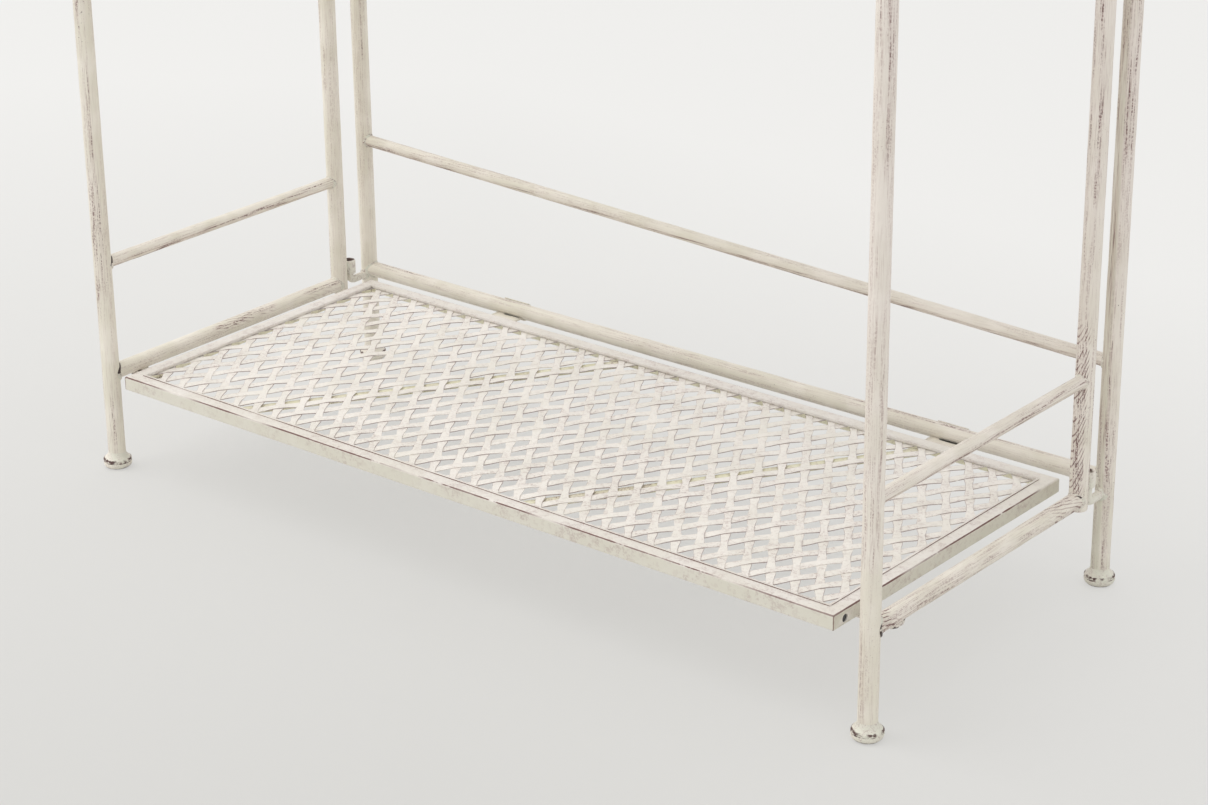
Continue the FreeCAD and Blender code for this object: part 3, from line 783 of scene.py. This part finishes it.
for hand in HANDS:
    low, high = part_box(f"{hand}_hinge_pins")
    sleeve_low, sleeve_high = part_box(f"{hand}_hinge_sleeves")
    pin_radius = (high.x - low.x) / 2
    post = post_at[f"back_post_{hand}"]
    root_y = post.y - post_radius + pin_sink
    axis_y = (sleeve_low.y + sleeve_high.y) / 2
    rods = bmesh.new()
    for rise in hinge_rises:
        level = low.z + pin_radius + rise
        run = root_y - axis_y - pin_bend
        climb = high.z - hinge_rises[-1] + rise - level - pin_bend - pin_tip
        elbow = Vector((post.x, axis_y + pin_bend, level + pin_bend))
        tip = Vector((post.x, axis_y, level + pin_bend + climb))
        start = Matrix.Translation((post.x, root_y, level)) @ Matrix.Rotation(math.radians(90.0), 4, "X")
        disc = bmesh.ops.create_circle(
            rods, cap_ends=True, segments=pin_sides, radius=pin_radius, matrix=start
        )
        moves = [Matrix.Translation((0.0, -run / 4, 0.0))] * 4
        moves += [about(elbow, Matrix.Rotation(math.radians(-15.0), 4, "X"))] * 6
        moves += [Matrix.Translation((0.0, 0.0, climb / 3))] * 3
        moves += [Matrix.Translation((0.0, 0.0, pin_tip)) @ about(tip, Matrix.Scale(pin_tip_share, 4))]
        draw_on(rods, disc["verts"][0].link_faces[0], moves, keep_first=True)
        hinge_joins.append((Vector((post.x, post.y, level)), FORWARD, pin_radius))
    for vert in rods.verts:
        if vert.co.y > axis_y + pin_bearing:
            vert.co += pin_dent * noise.noise_vector(vert.co * pin_dent_fineness)
    show(
        rods, f"{hand}_hinge_rods", "back_frame", [f"{hand}_hinge_pins"], fitting_paint
    )


# The hinge sleeves: short open tubes welded to the back of the rear uprights. Their rims are rubbed to bare
# iron where the pins turn in them.
sleeve_profile = [
    (3.06, 0.6, 0.9), (3.5, 0.0, 0.8), (4.5, 0.0, 0.3), (5.0, 0.6, 0.1), (5.0, 3.6, 0.0), (5.0, 7.4, 0.0),
    (5.0, 10.4, 0.1), (4.5, 11.0, 0.6), (3.5, 11.0, 1.0), (3.06, 10.4, 1.0),
]
turned_steps = 28
fillet_halves = (0.0017, 0.0014, 0.0056)
fillet_offset = 0.0031
fillet_stand_off = 0.0003
fillet_lumps = 0.0007
rod_bead = 0.0016
rod_bead_sink = 0.0002
rod_bead_wild = 0.6


def add_lump(shape, at, halves, u_segments, v_segments, turned=Matrix.Identity(4)):
    """A lump of filler: an egg with three half sizes."""
    egg = Matrix.Translation(at) @ Matrix.Diagonal((*halves, 1.0)) @ turned
    bmesh.ops.create_uvsphere(shape, u_segments=u_segments, v_segments=v_segments, radius=1.0, matrix=egg)


for hand in HANDS:
    low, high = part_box(f"{hand}_hinge_sleeves")
    middle = (low + high) / 2
    upright = post_at[f"rear_upright_{hand}"]
    tubes = bmesh.new()
    tubes.verts.layers.float.new("wear_and_shade")
    fillets = bmesh.new()
    for rise in hinge_rises:
        foot = low.z + rise
        add_turned(tubes, sleeve_profile, Vector((middle.x, middle.y, foot)), turned_steps, closed=True)
        for side in (-1.0, 1.0):
            seam_y = upright.y + post_radius + fillet_stand_off
            seam = (upright.x + side * fillet_offset, seam_y, foot + fillet_halves[2])
            add_lump(fillets, seam, fillet_halves, u_segments=12, v_segments=14)
    for vert in fillets.verts:
        vert.co += fillet_lumps * noise.noise_vector(vert.co * speckle_fineness)
    body = f"{hand}_side_frame"
    show(tubes, f"{hand}_hinge_tubes", body, [f"{hand}_hinge_sleeves"], fitting_paint)
    show(fillets, f"{hand}_hinge_tube_welds", body, [], weld_paint, crease=60.0)
beads = bmesh.new()
wear_and_shade = beads.verts.layers.float.new("wear_and_shade")
for at, out, radius in hinge_joins:
    add_weld(beads, wear_and_shade, at, out, radius - rod_bead_sink, rod_bead, rod_bead_wild)
show(beads, "hinge_rod_welds", "back_frame", [], weld_paint, crease=60.0)


# The caps: domed plugs hammered into the six tube tops, and flat ones in the two lower ends that carry no
# foot. They are painted over with the tubes.
dome = [(0.0, 3.6), (3.2, 3.6), (4.7, 3.25), (5.8, 2.3), (6.3, 0.9), (6.35, 0.0), (0.0, 0.0)]
plug = [(0.0, -1.0), (5.4, -1.0), (6.1, -0.75), (6.35, -0.2), (6.35, 0.0), (0.0, 0.0)]
cap_nodes = {
    "back_frame": "back_post_caps",
    "left_side_frame": "left_frame_caps",
    "right_side_frame": "right_frame_caps",
}
for body, node in cap_nodes.items():
    caps = bmesh.new()
    for upright in uprights[body]:
        low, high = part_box(upright)
        add_turned(caps, dome, on_post(upright, high.z), turned_steps)
        if upright.startswith("rear"):
            add_turned(caps, plug, on_post(upright, low.z), turned_steps)
    bmesh.ops.remove_doubles(caps, verts=caps.verts[:], dist=HAIR)
    show(caps, f"{node}_domes", body, [node], upright_paint)


# The rest tabs: short flat bars welded under the side rails, that reach in below the shelves' side bars and
# carry the shelves when they are down. Their corners are filed off.
tab_round = 0.0006
tab_weld_halves = (0.0042, 0.0085, 0.0026)
tab_weld_sink = 0.0002
tab_weld_lumps = 0.0009
tab_weld_rub = 6.0
rises = [tier_rise * number for number in range(len(TIERS))]


def round_off(shape, edges, offset, segments):
    """Rounds edges off."""
    bmesh.ops.bevel(
        shape, geom=edges, offset=offset, offset_type="OFFSET", affect="EDGES",
        segments=segments, profile=0.5,
        material=-1,
    )


for hand in HANDS:
    low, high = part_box(f"{hand}_rest_tabs")
    middle = (low + high) / 2
    thick = high.z - low.z - rises[-1]
    size = Matrix.Diagonal((high.x - low.x, high.y - low.y, thick, 1.0))
    tabs = bmesh.new()
    lumps = bmesh.new()
    wear_and_shade = lumps.verts.layers.float.new("wear_and_shade")
    for rise in rises:
        at = Vector((middle.x, middle.y, low.z + thick / 2 + rise))
        bmesh.ops.create_cube(tabs, size=1.0, matrix=Matrix.Translation(at) @ size)
        seam = (post_at[f"front_post_{hand}"].x, middle.y, low.z + thick - tab_weld_sink + rise)
        add_lump(lumps, seam, tab_weld_halves, u_segments=16, v_segments=24)
    round_off(tabs, tabs.edges[:], tab_round, segments=2)
    for vert in lumps.verts:
        vert.co += tab_weld_lumps * noise.noise_vector(vert.co * lump_fineness)
        vert[wear_and_shade] = max(0.0, tab_weld_rub * noise.noise(vert.co * speckle_fineness))
    body = f"{hand}_side_frame"
    show(
        tabs, f"{hand}_rest_plates", body, [f"{hand}_rest_tabs"], fitting_paint,
        crease=30.0,
    )
    show(lumps, f"{hand}_rest_welds", body, [], weld_paint, crease=60.0)


# The shelf frames: four lengths of light angle iron, mitred and welded, with the flat on top and the skirt
# outside. The chalky ivory paint is rubbed through to brown along the outer edge. Each side bar has a catch
# hole at the front. Painted shade darkens the outside of the skirts, painted light brightens their inside, a
# painted shadow line runs along the inner edge of each flat, and a dark disc of painted shade sits in each
# catch hole.
bar_paint = make_paint(
    "ivory on shelf bars",
    stretch=(90.0, 90.0, 90.0),
    wear=0.35,
    light=(0.765, 0.725, 0.675, 1.0),
    shade=(0.73, 0.69, 0.625, 1.0),
    wear_and_shade_colour=(0.15, 0.07, 0.058, 1.0),
)
# The dark disc in each catch hole is painted shade, for the dark seen through the hole.
hole_shade_paint = make_paint(
    "painted shade in catch holes",
    stretch=(300.0, 300.0, 300.0),
    wear=0.1,
    light=(0.05, 0.055, 0.06, 1.0),
    shade=(0.03, 0.032, 0.035, 1.0),
)
BACKWARD = -FORWARD
angle_wall = 0.0012
angle_round = 0.0013
toe_round = 0.0004
toe_band = 0.0011
angle_spacing = 0.011
rubbed_corner = 0.00105
edge_shadow_width = 0.0005
rubbed_edge = 0.0003
skirt_skin = 0.0005
skirt_top = 0.0011
mitre_band = 0.0009
mitre_top = 0.001


def everything(shape):
    """All of a shape, for a cut."""
    return shape.verts[:] + shape.edges[:] + shape.faces[:]


def cut_off(shape, at, outward):
    """Cuts a shape off at a plane, and closes the end."""
    bmesh.ops.bisect_plane(
        shape, geom=everything(shape), plane_co=at, plane_no=outward, clear_outer=True, dist=HAIR
    )
    bmesh.ops.holes_fill(shape, edges=[edge for edge in shape.edges if edge.is_boundary], sides=0)


def make_angle(length, leg, skirt_shade, edge_shadow):
    """An angle bar along X with its outer top edge on the X axis, its flat towards +Y and its skirt down."""
    shape = bmesh.new()
    wear_and_shade, tint, inner = (shape.verts.layers.float.new(name) for name in ("wear_and_shade", "tint", "inner"))
    lie = Matrix.Translation((0.0, angle_wall / 2, -angle_wall / 2))
    bmesh.ops.create_cube(
        shape, size=1.0, matrix=lie @ Matrix.Diagonal((length, angle_wall, angle_wall, 1.0))
    )
    bmesh.ops.recalc_face_normals(shape, faces=shape.faces[:])
    for facing in (BACKWARD, -UP):
        face = next(
            face for face in shape.faces
            if face.normal.dot(facing) > 0.9 and face.calc_center_median().y < angle_wall + HAIR
        )
        stretches = (toe_band, leg - angle_wall - 2 * toe_band, toe_band)
        draw_on(shape, face, [Matrix.Translation(facing * stretch) for stretch in stretches])
    ridge = [
        edge for edge in shape.edges if all(abs(vert.co.y) + abs(vert.co.z) < HAIR for vert in edge.verts)
    ]
    round_off(shape, ridge, angle_round, segments=3)
    toes = [
        edge for edge in shape.edges
        if all(max(vert.co.y, -vert.co.z) > leg - HAIR for vert in edge.verts)
        and edge.calc_length() > length / 2
    ]
    round_off(shape, toes, toe_round, segments=2)
    lengthways = [edge for edge in shape.edges if edge.calc_length() > length / 2]
    bmesh.ops.subdivide_edges(shape, edges=lengthways, cuts=int(length / angle_spacing))
    for vert in shape.verts:
        y, z = vert.co.y, vert.co.z
        if y - z < rubbed_corner:
            vert[wear_and_shade] = 1.0
        # A dark line along the inner edge of the flat: painted shadow of the gap between the flat and the
        # woven strips, strongest on the front and right bars.
        elif y > leg - edge_shadow_width and z > -rubbed_edge:
            vert[wear_and_shade] = edge_shadow
        elif z < rubbed_edge - leg:
            vert[wear_and_shade] = 0.5
        # Painted shade darkens the outside of the skirt, more on the front and right bars.
        vert[tint] = skirt_shade if y < skirt_skin and z < -skirt_top else 0.0
        # Painted light brightens the inside of the skirt, which lies in shade under the flat.
        vert[inner] = 1.0 if abs(y - angle_wall) < 10 * HAIR and z < -angle_wall / 2 else 0.0
    for end in (1.0, -1.0):
        mitre = Vector((end, 1.0, 0.0)).normalized()
        tip = Vector((end * length / 2, 0.0, 0.0))
        band = tip - mitre * mitre_band
        bmesh.ops.bisect_plane(shape, geom=everything(shape), plane_co=band, plane_no=mitre, dist=HAIR)
        cut_off(shape, tip, mitre)
        for vert in shape.verts:
            if abs((vert.co - tip).dot(mitre)) < HAIR and vert.co.z < -mitre_top:
                vert[wear_and_shade] = 1.0
    return shape


catch_radius = 0.00275
catch_sides = 20
catch_setback = 0.012
catch_drop = 0.001
drill_length = 0.012
hole_shade_overlap = 0.0002
hole_shade_depth = 0.0013
hole_shade_thickness = 0.0008


def add_disc(shape, at, radius, thickness):
    """A round plate that faces along X."""
    lie = Matrix.Translation(at) @ Matrix.Rotation(math.radians(90.0), 4, "Y")
    bmesh.ops.create_cone(
        shape, cap_ends=True, segments=catch_sides, radius1=radius, radius2=radius,
        depth=thickness, matrix=lie
    )


def drill_catch(piece, spot, crease):
    """Drills a catch hole through the skirt of a side bar."""
    shape = bmesh.new()
    add_disc(shape, spot, catch_radius, drill_length)
    mesh = bpy.data.meshes.new("drill")
    shape.to_mesh(mesh)
    shape.free()
    drill = bpy.data.objects.new("drill", mesh)
    scene.collection.objects.link(drill)
    hole = piece.modifiers.new("catch hole", "BOOLEAN")
    hole.operation = "DIFFERENCE"
    hole.object = drill
    drilled = bpy.data.meshes.new_from_object(piece.evaluated_get(bpy.context.evaluated_depsgraph_get()))
    piece.modifiers.remove(hole)
    piece.data = drilled
    piece.data.set_sharp_from_angle(angle=math.radians(crease))
    bpy.data.objects.remove(drill)


bar_turns = {"front_bar": 0.0, "rear_bar": 180.0, "left_bar": -90.0, "right_bar": 90.0}
bar_skirt_shade = {"front_bar": 0.7, "rear_bar": 0.55, "left_bar": 0.55, "right_bar": 0.8}
bar_edge_shadow = {"front_bar": 1.7, "rear_bar": 1.0, "left_bar": 1.0, "right_bar": 1.7}
angle_dent = 0.00009
angle_dent_fineness = 45.0
angle_crease = 40.0
for tier in TIERS:
    shelf = f"shelf_{tier}"
    for bar_name, degrees in bar_turns.items():
        low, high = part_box(f"{shelf}_{bar_name}")
        size = high - low
        leg = size.z
        facing = Matrix.Rotation(math.radians(degrees), 4, "Z")
        outside = (low + high) / 2 - facing.to_3x3() @ Vector((0.0, leg / 2, 0.0))
        angle_bar = make_angle(max(size.x, size.y), leg, bar_skirt_shade[bar_name], bar_edge_shadow[bar_name])
        lie = Matrix.Translation((outside.x, outside.y, high.z)) @ facing
        bmesh.ops.transform(angle_bar, matrix=lie, verts=angle_bar.verts[:])
        for vert in angle_bar.verts:
            vert.co += angle_dent * noise.noise_vector(vert.co * angle_dent_fineness)
        name = f"{shelf}_{bar_name}"
        piece = show(angle_bar, f"{name}_angle", shelf, [name], bar_paint, crease=angle_crease)
        if bar_name in ("left_bar", "right_bar"):
            spot = Vector((outside.x, low.y + catch_setback, high.z - leg / 2 - catch_drop))
            drill_catch(piece, spot, angle_crease)
            # A dark disc just inside the catch hole: painted shade.
            hole_shade = bmesh.new()
            inward = Vector((math.copysign(hole_shade_depth, -spot.x), 0.0, 0.0))
            add_disc(hole_shade, spot + inward, catch_radius + hole_shade_overlap, hole_shade_thickness)
            show(hole_shade, f"{name}_grime", shelf, [], hole_shade_paint, crease=30.0)


# The edging: a thin iron strip welded along the inner edge of each shelf frame, on the ends of the woven
# strips. It stands a little above the flats, and its outer side is painted dark: painted shade on the step
# that faces out, with a thin line of rubbed paint.
edging_width = 0.0018
edging_rise = 0.0006
edging_depth = 0.0016
edging_round = 0.0002
edging_shade_and_wear = 1.45
for tier in TIERS:
    shelf = f"shelf_{tier}"
    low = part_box(f"{shelf}_front_bar")[0]
    rear_low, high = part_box(f"{shelf}_rear_bar")
    leg = high.z - rear_low.z
    middle = Vector(((low.x + high.x) / 2, (low.y + high.y) / 2, high.z))
    opening = Vector((high.x - low.x, high.y - low.y, 0.0)) / 2 - Vector((leg, leg, 0.0))
    edging = bmesh.new()
    wear_and_shade = edging.verts.layers.float.new("wear_and_shade")
    for along, across in ((RIGHT, BACKWARD), (BACKWARD, RIGHT)):
        for side in (-1.0, 1.0):
            at = middle + across * (side * opening.dot(across))
            reach = 2.0 * opening.dot(along) + edging_width * (along.x - along.y)
            size = along * reach + across * edging_width
            sunk = UP * ((edging_rise - edging_depth) / 2)
            lie = Matrix.Translation(at + sunk) @ Matrix.Diagonal(
                (size.x, size.y, edging_rise + edging_depth, 1.0)
            )
            strip = bmesh.ops.create_cube(edging, size=1.0, matrix=lie)["verts"]
            before = set(edging.verts) - set(strip)
            round_off(
                edging, list({edge for vert in strip for edge in vert.link_edges}), edging_round, segments=1
            )
            for vert in set(edging.verts) - before:
                # The outer side carries painted shade on the step, with a thin line of rubbed paint.
                on_outside = side * (vert.co - at).dot(across) > (edging_width - edging_round) / 2
                vert[wear_and_shade] = edging_shade_and_wear if on_outside else 0.0
    show(edging, f"{shelf}_edging", shelf, [], bar_paint, crease=50.0)


# The woven panels: flat iron strips laid on two slants and pressed over and under each other, with their
# ends welded under the flats of the shelf frame. Each strip is drawn in where it passes over, and its edges
# are rubbed grey.
weave_paint = make_paint(
    "ivory on strips",
    stretch=(130.0, 130.0, 60.0),
    wear=0.4,
    light=(0.83, 0.79, 0.735, 1.0),
    shade=(0.78, 0.745, 0.68, 1.0),
    wear_and_shade_colour=(0.41, 0.34, 0.325, 1.0),
    patch=40.0,
)
strip_pitch = 0.0154
strip_slant = math.radians(56.4)
strip_thickness = 0.00055
strip_half = 0.0035
strip_shortest = 0.006
strip_spacing = 0.0028
strip_edge_rub = 0.95
strip_drop = 0.0019
strip_lift = 0.0003
strip_wave = 0.00032
strip_crown = 0.0001
strip_sway = Vector((0.00025, 0.00025, 0.00012))
frame_cover = 0.007
frame_fade = 0.012


def strip_width(lean, beat):
    """The upper set is wide and even; the other is drawn in more where it passes over."""
    return 0.0068 - 0.0005 * beat if lean > 0.0 else 0.0057 - 0.0013 * beat


def add_strip(shape, wear_and_shade, centre, half, top, offset, lean, number, other_first):
    """A strip of the weave at an offset from the shelf's middle, bent over and under those that cross it."""
    along = Vector((math.cos(strip_slant), lean * math.sin(strip_slant)))
    across = Vector((-lean * math.sin(strip_slant), math.cos(strip_slant)))
    crossing = Vector((lean * math.sin(strip_slant), math.cos(strip_slant)))

    def reach(side):
        foot = across * (offset + side)
        far = [math.copysign(half[axis], along[axis]) for axis in (0, 1)]
        low = max((-far[axis] - foot[axis]) / along[axis] for axis in (0, 1))
        high = min((far[axis] - foot[axis]) / along[axis] for axis in (0, 1))
        return low, high

    spans = {side: reach(side * strip_half) for side in (-1.0, 0.0, 1.0)}
    if min(high - low for low, high in spans.values()) < strip_shortest:
        return
    length = spans[0.0][1] - spans[0.0][0]
    strip = bmesh.ops.create_grid(
        shape, x_segments=max(3, int(length / strip_spacing)), y_segments=4, size=0.5
    )
    for vert in strip["verts"]:
        side = round(vert.co.y * 4.0) / 2.0
        low, high = (
            spans[0.0][end] + (spans[math.copysign(1.0, side)][end] - spans[0.0][end]) * abs(side)
            for end in (0, 1)
        )
        middle = across * offset + along * (low + (high - low) * (vert.co.x + 0.5))
        beat = math.cos(math.pi * (number + middle.dot(crossing) / strip_pitch + other_first)) * lean
        clear = min(half.x - abs(middle.x), half.y - abs(middle.y)) - frame_cover
        raised = strip_lift * min(1.0, max(0.0, clear / frame_fade))
        share = math.copysign(0.78, side) if abs(side) == 0.5 else side
        flat = middle + across * (share * strip_width(lean, beat) / 2)
        height = -strip_drop + raised + strip_wave * beat - strip_crown * share**2
        sway = noise.noise_vector(Vector((flat.x * 40.0, flat.y * 40.0, number + 60.0 * lean)))
        vert[wear_and_shade] = strip_edge_rub if abs(side) == 1.0 else 0.0
        vert.co = Vector((centre.x + flat.x, centre.y + flat.y, top + height)) + sway * strip_sway


for tier in TIERS:
    shelf = f"shelf_{tier}"
    low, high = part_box(f"{shelf}_weave")
    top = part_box(f"{shelf}_front_bar")[1].z
    centre = (low + high) / 2
    half = (high - low) / 2
    weave = bmesh.new()
    wear_and_shade = weave.verts.layers.float.new("wear_and_shade")
    reach_across = half.x * math.sin(strip_slant) + half.y * math.cos(strip_slant)
    count = 2 * math.ceil(reach_across / strip_pitch)
    first = (count - 1) / 2
    for lean in (1.0, -1.0):
        for number in range(count):
            add_strip(weave, wear_and_shade, centre, half, top, (number - first) * strip_pitch, lean, number, first)
    bmesh.ops.recalc_face_normals(weave, faces=weave.faces[:])
    bmesh.ops.solidify(weave, geom=weave.faces[:], thickness=strip_thickness)
    show(weave, f"{shelf}_strips", shelf, [f"{shelf}_weave"], weave_paint, crease=50.0)


# The braces: two flat bars welded across under each woven panel, along the slant of one set of its strips,
# to keep it from sagging. They carry painted shade and painted light: the greenish yellow that the frame's
# cream shows in the shade under the panel, kept light to stand in for the light that reaches them there.
brace_paint = make_paint(
    "cream on braces",
    stretch=(90.0, 90.0, 90.0),
    wear=0.8,
    light=(0.80, 0.775, 0.59, 1.0),
    shade=(0.72, 0.69, 0.49, 1.0),
)
brace_stock = (0.8, 0.009, 0.0027)
brace_offset = 7.0 * strip_pitch
brace_round = 0.0005
for tier in TIERS:
    shelf = f"shelf_{tier}"
    low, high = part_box(f"{shelf}_braces")
    middle = Vector(((low.x + high.x) / 2, (low.y + high.y) / 2, low.z + brace_stock[2] / 2))
    aside = Vector((-math.sin(strip_slant), math.cos(strip_slant), 0.0))
    braces = bmesh.new()
    for side in (-1.0, 1.0):
        lie = (
            Matrix.Translation(middle + aside * (side * brace_offset)) @ Matrix.Rotation(strip_slant, 4, "Z")
        )
        bmesh.ops.create_cube(braces, size=1.0, matrix=lie @ Matrix.Diagonal((*brace_stock, 1.0)))
    for corner, facing in ((low, -1.0), (high, 1.0)):
        for axis in (RIGHT, BACKWARD):
            cut_off(braces, corner, axis * facing)
    round_off(braces, [edge for edge in braces.edges if edge.calc_length() > 0.1], brace_round, segments=2)
    show(braces, f"{shelf}_brace_bars", shelf, [f"{shelf}_braces"], brace_paint, crease=30.0)


# The strap hinges: two tongues of sheet iron on each shelf's rear bar, that run under the back rail and
# curl up behind it to the top, so that the shelf can be lifted. They are welded to the bar and painted over
# with the rail. A near-black band on each tongue, just before it runs under the rail, is painted shadow of
# the slit there.
strap_paint = make_paint(
    "cream on straps",
    stretch=(ALONG, ACROSS, ACROSS),
    wear=0.5,
    light=CREAM,
    shade=OLIVE,
    wear_and_shade_colour=(0.03, 0.034, 0.03, 1.0),
    patch=60.0,
    blush=0.5,
)
strap_width = 0.024
strap_columns = 6
strap_thickness = 0.0008
strap_drop = 0.0034
strap_play = 0.0002
strap_overlap = 0.0006
strap_knee = 0.0026
strap_steps = 24
strap_end_gap = 0.0035
knee_shadow = (0.006, 0.022)
strap_weld_halves = (0.0105, 0.0011, 0.0011)
strap_weld_offset = 0.0002
strap_weld_lumps = 0.0006
strap_weld_fineness = 380.0
for tier in TIERS:
    shelf = f"shelf_{tier}"
    low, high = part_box(f"{shelf}_hinge_straps")
    rail_low, rail_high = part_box(f"back_shelf_rail_{tier}")
    rail = (rail_low + rail_high) / 2
    curl = (rail_high.z - rail_low.z) / 2 + strap_play + strap_thickness / 2
    drop = strap_drop + strap_thickness / 2
    knee_y = rail.y - math.sqrt(curl**2 - drop**2)
    round_turn = 1.5 * math.pi - math.asin(drop / curl) - math.asin(strap_end_gap / curl)
    straps = bmesh.new()
    wear_and_shade = straps.verts.layers.float.new("wear_and_shade")
    seams = bmesh.new()
    for left in (low.x, high.x - strap_width):
        first, bend, knee = (
            straps.verts.new((left, y, rail.z - drop))
            for y in (low.y - strap_overlap, knee_y - strap_knee, knee_y)
        )
        straps.edges.new((first, bend))
        straps.edges.new((bend, knee))
        bmesh.ops.spin(straps, geom=[knee], cent=rail, axis=RIGHT, angle=round_turn, steps=strap_steps)
        edges = [edge for edge in straps.edges if edge.is_wire]
        for column in range(strap_columns):
            sheet = bmesh.ops.extrude_edge_only(straps, edges=edges)["geom"]
            moved = {item for item in sheet if isinstance(item, bmesh.types.BMVert)}
            bmesh.ops.translate(straps, verts=list(moved), vec=RIGHT * (strap_width / strap_columns))
            edges = [
                item for item in sheet
                if isinstance(item, bmesh.types.BMEdge) and moved.issuperset(item.verts)
            ]
        # A near-black band on each tongue just before the knee: painted shadow of the slit under the rail.
        for vert in straps.verts:
            if abs(vert.co.y - knee_y) < HAIR and left + knee_shadow[0] < vert.co.x < left + knee_shadow[1]:
                vert[wear_and_shade] = full_wear_and_shade
        seam = (left + strap_width / 2, low.y + strap_weld_offset, rail.z - strap_drop)
        lengthwise = Matrix.Rotation(math.radians(90.0), 4, "Y")
        add_lump(seams, seam, strap_weld_halves, u_segments=14, v_segments=22, turned=lengthwise)
    bmesh.ops.remove_doubles(straps, verts=straps.verts[:], dist=HAIR)
    bmesh.ops.recalc_face_normals(straps, faces=straps.faces[:])
    for vert in seams.verts:
        vert.co += strap_weld_lumps * noise.noise_vector(vert.co * strap_weld_fineness)
    hinge = show(straps, f"{shelf}_strap_curls", shelf, [f"{shelf}_hinge_straps"], strap_paint)
    sheet_wall = hinge.modifiers.new("sheet", "SOLIDIFY")
    sheet_wall.thickness = strap_thickness
    sheet_wall.offset = 0.0
    show(seams, f"{shelf}_strap_welds", shelf, [], weld_paint, crease=60.0)
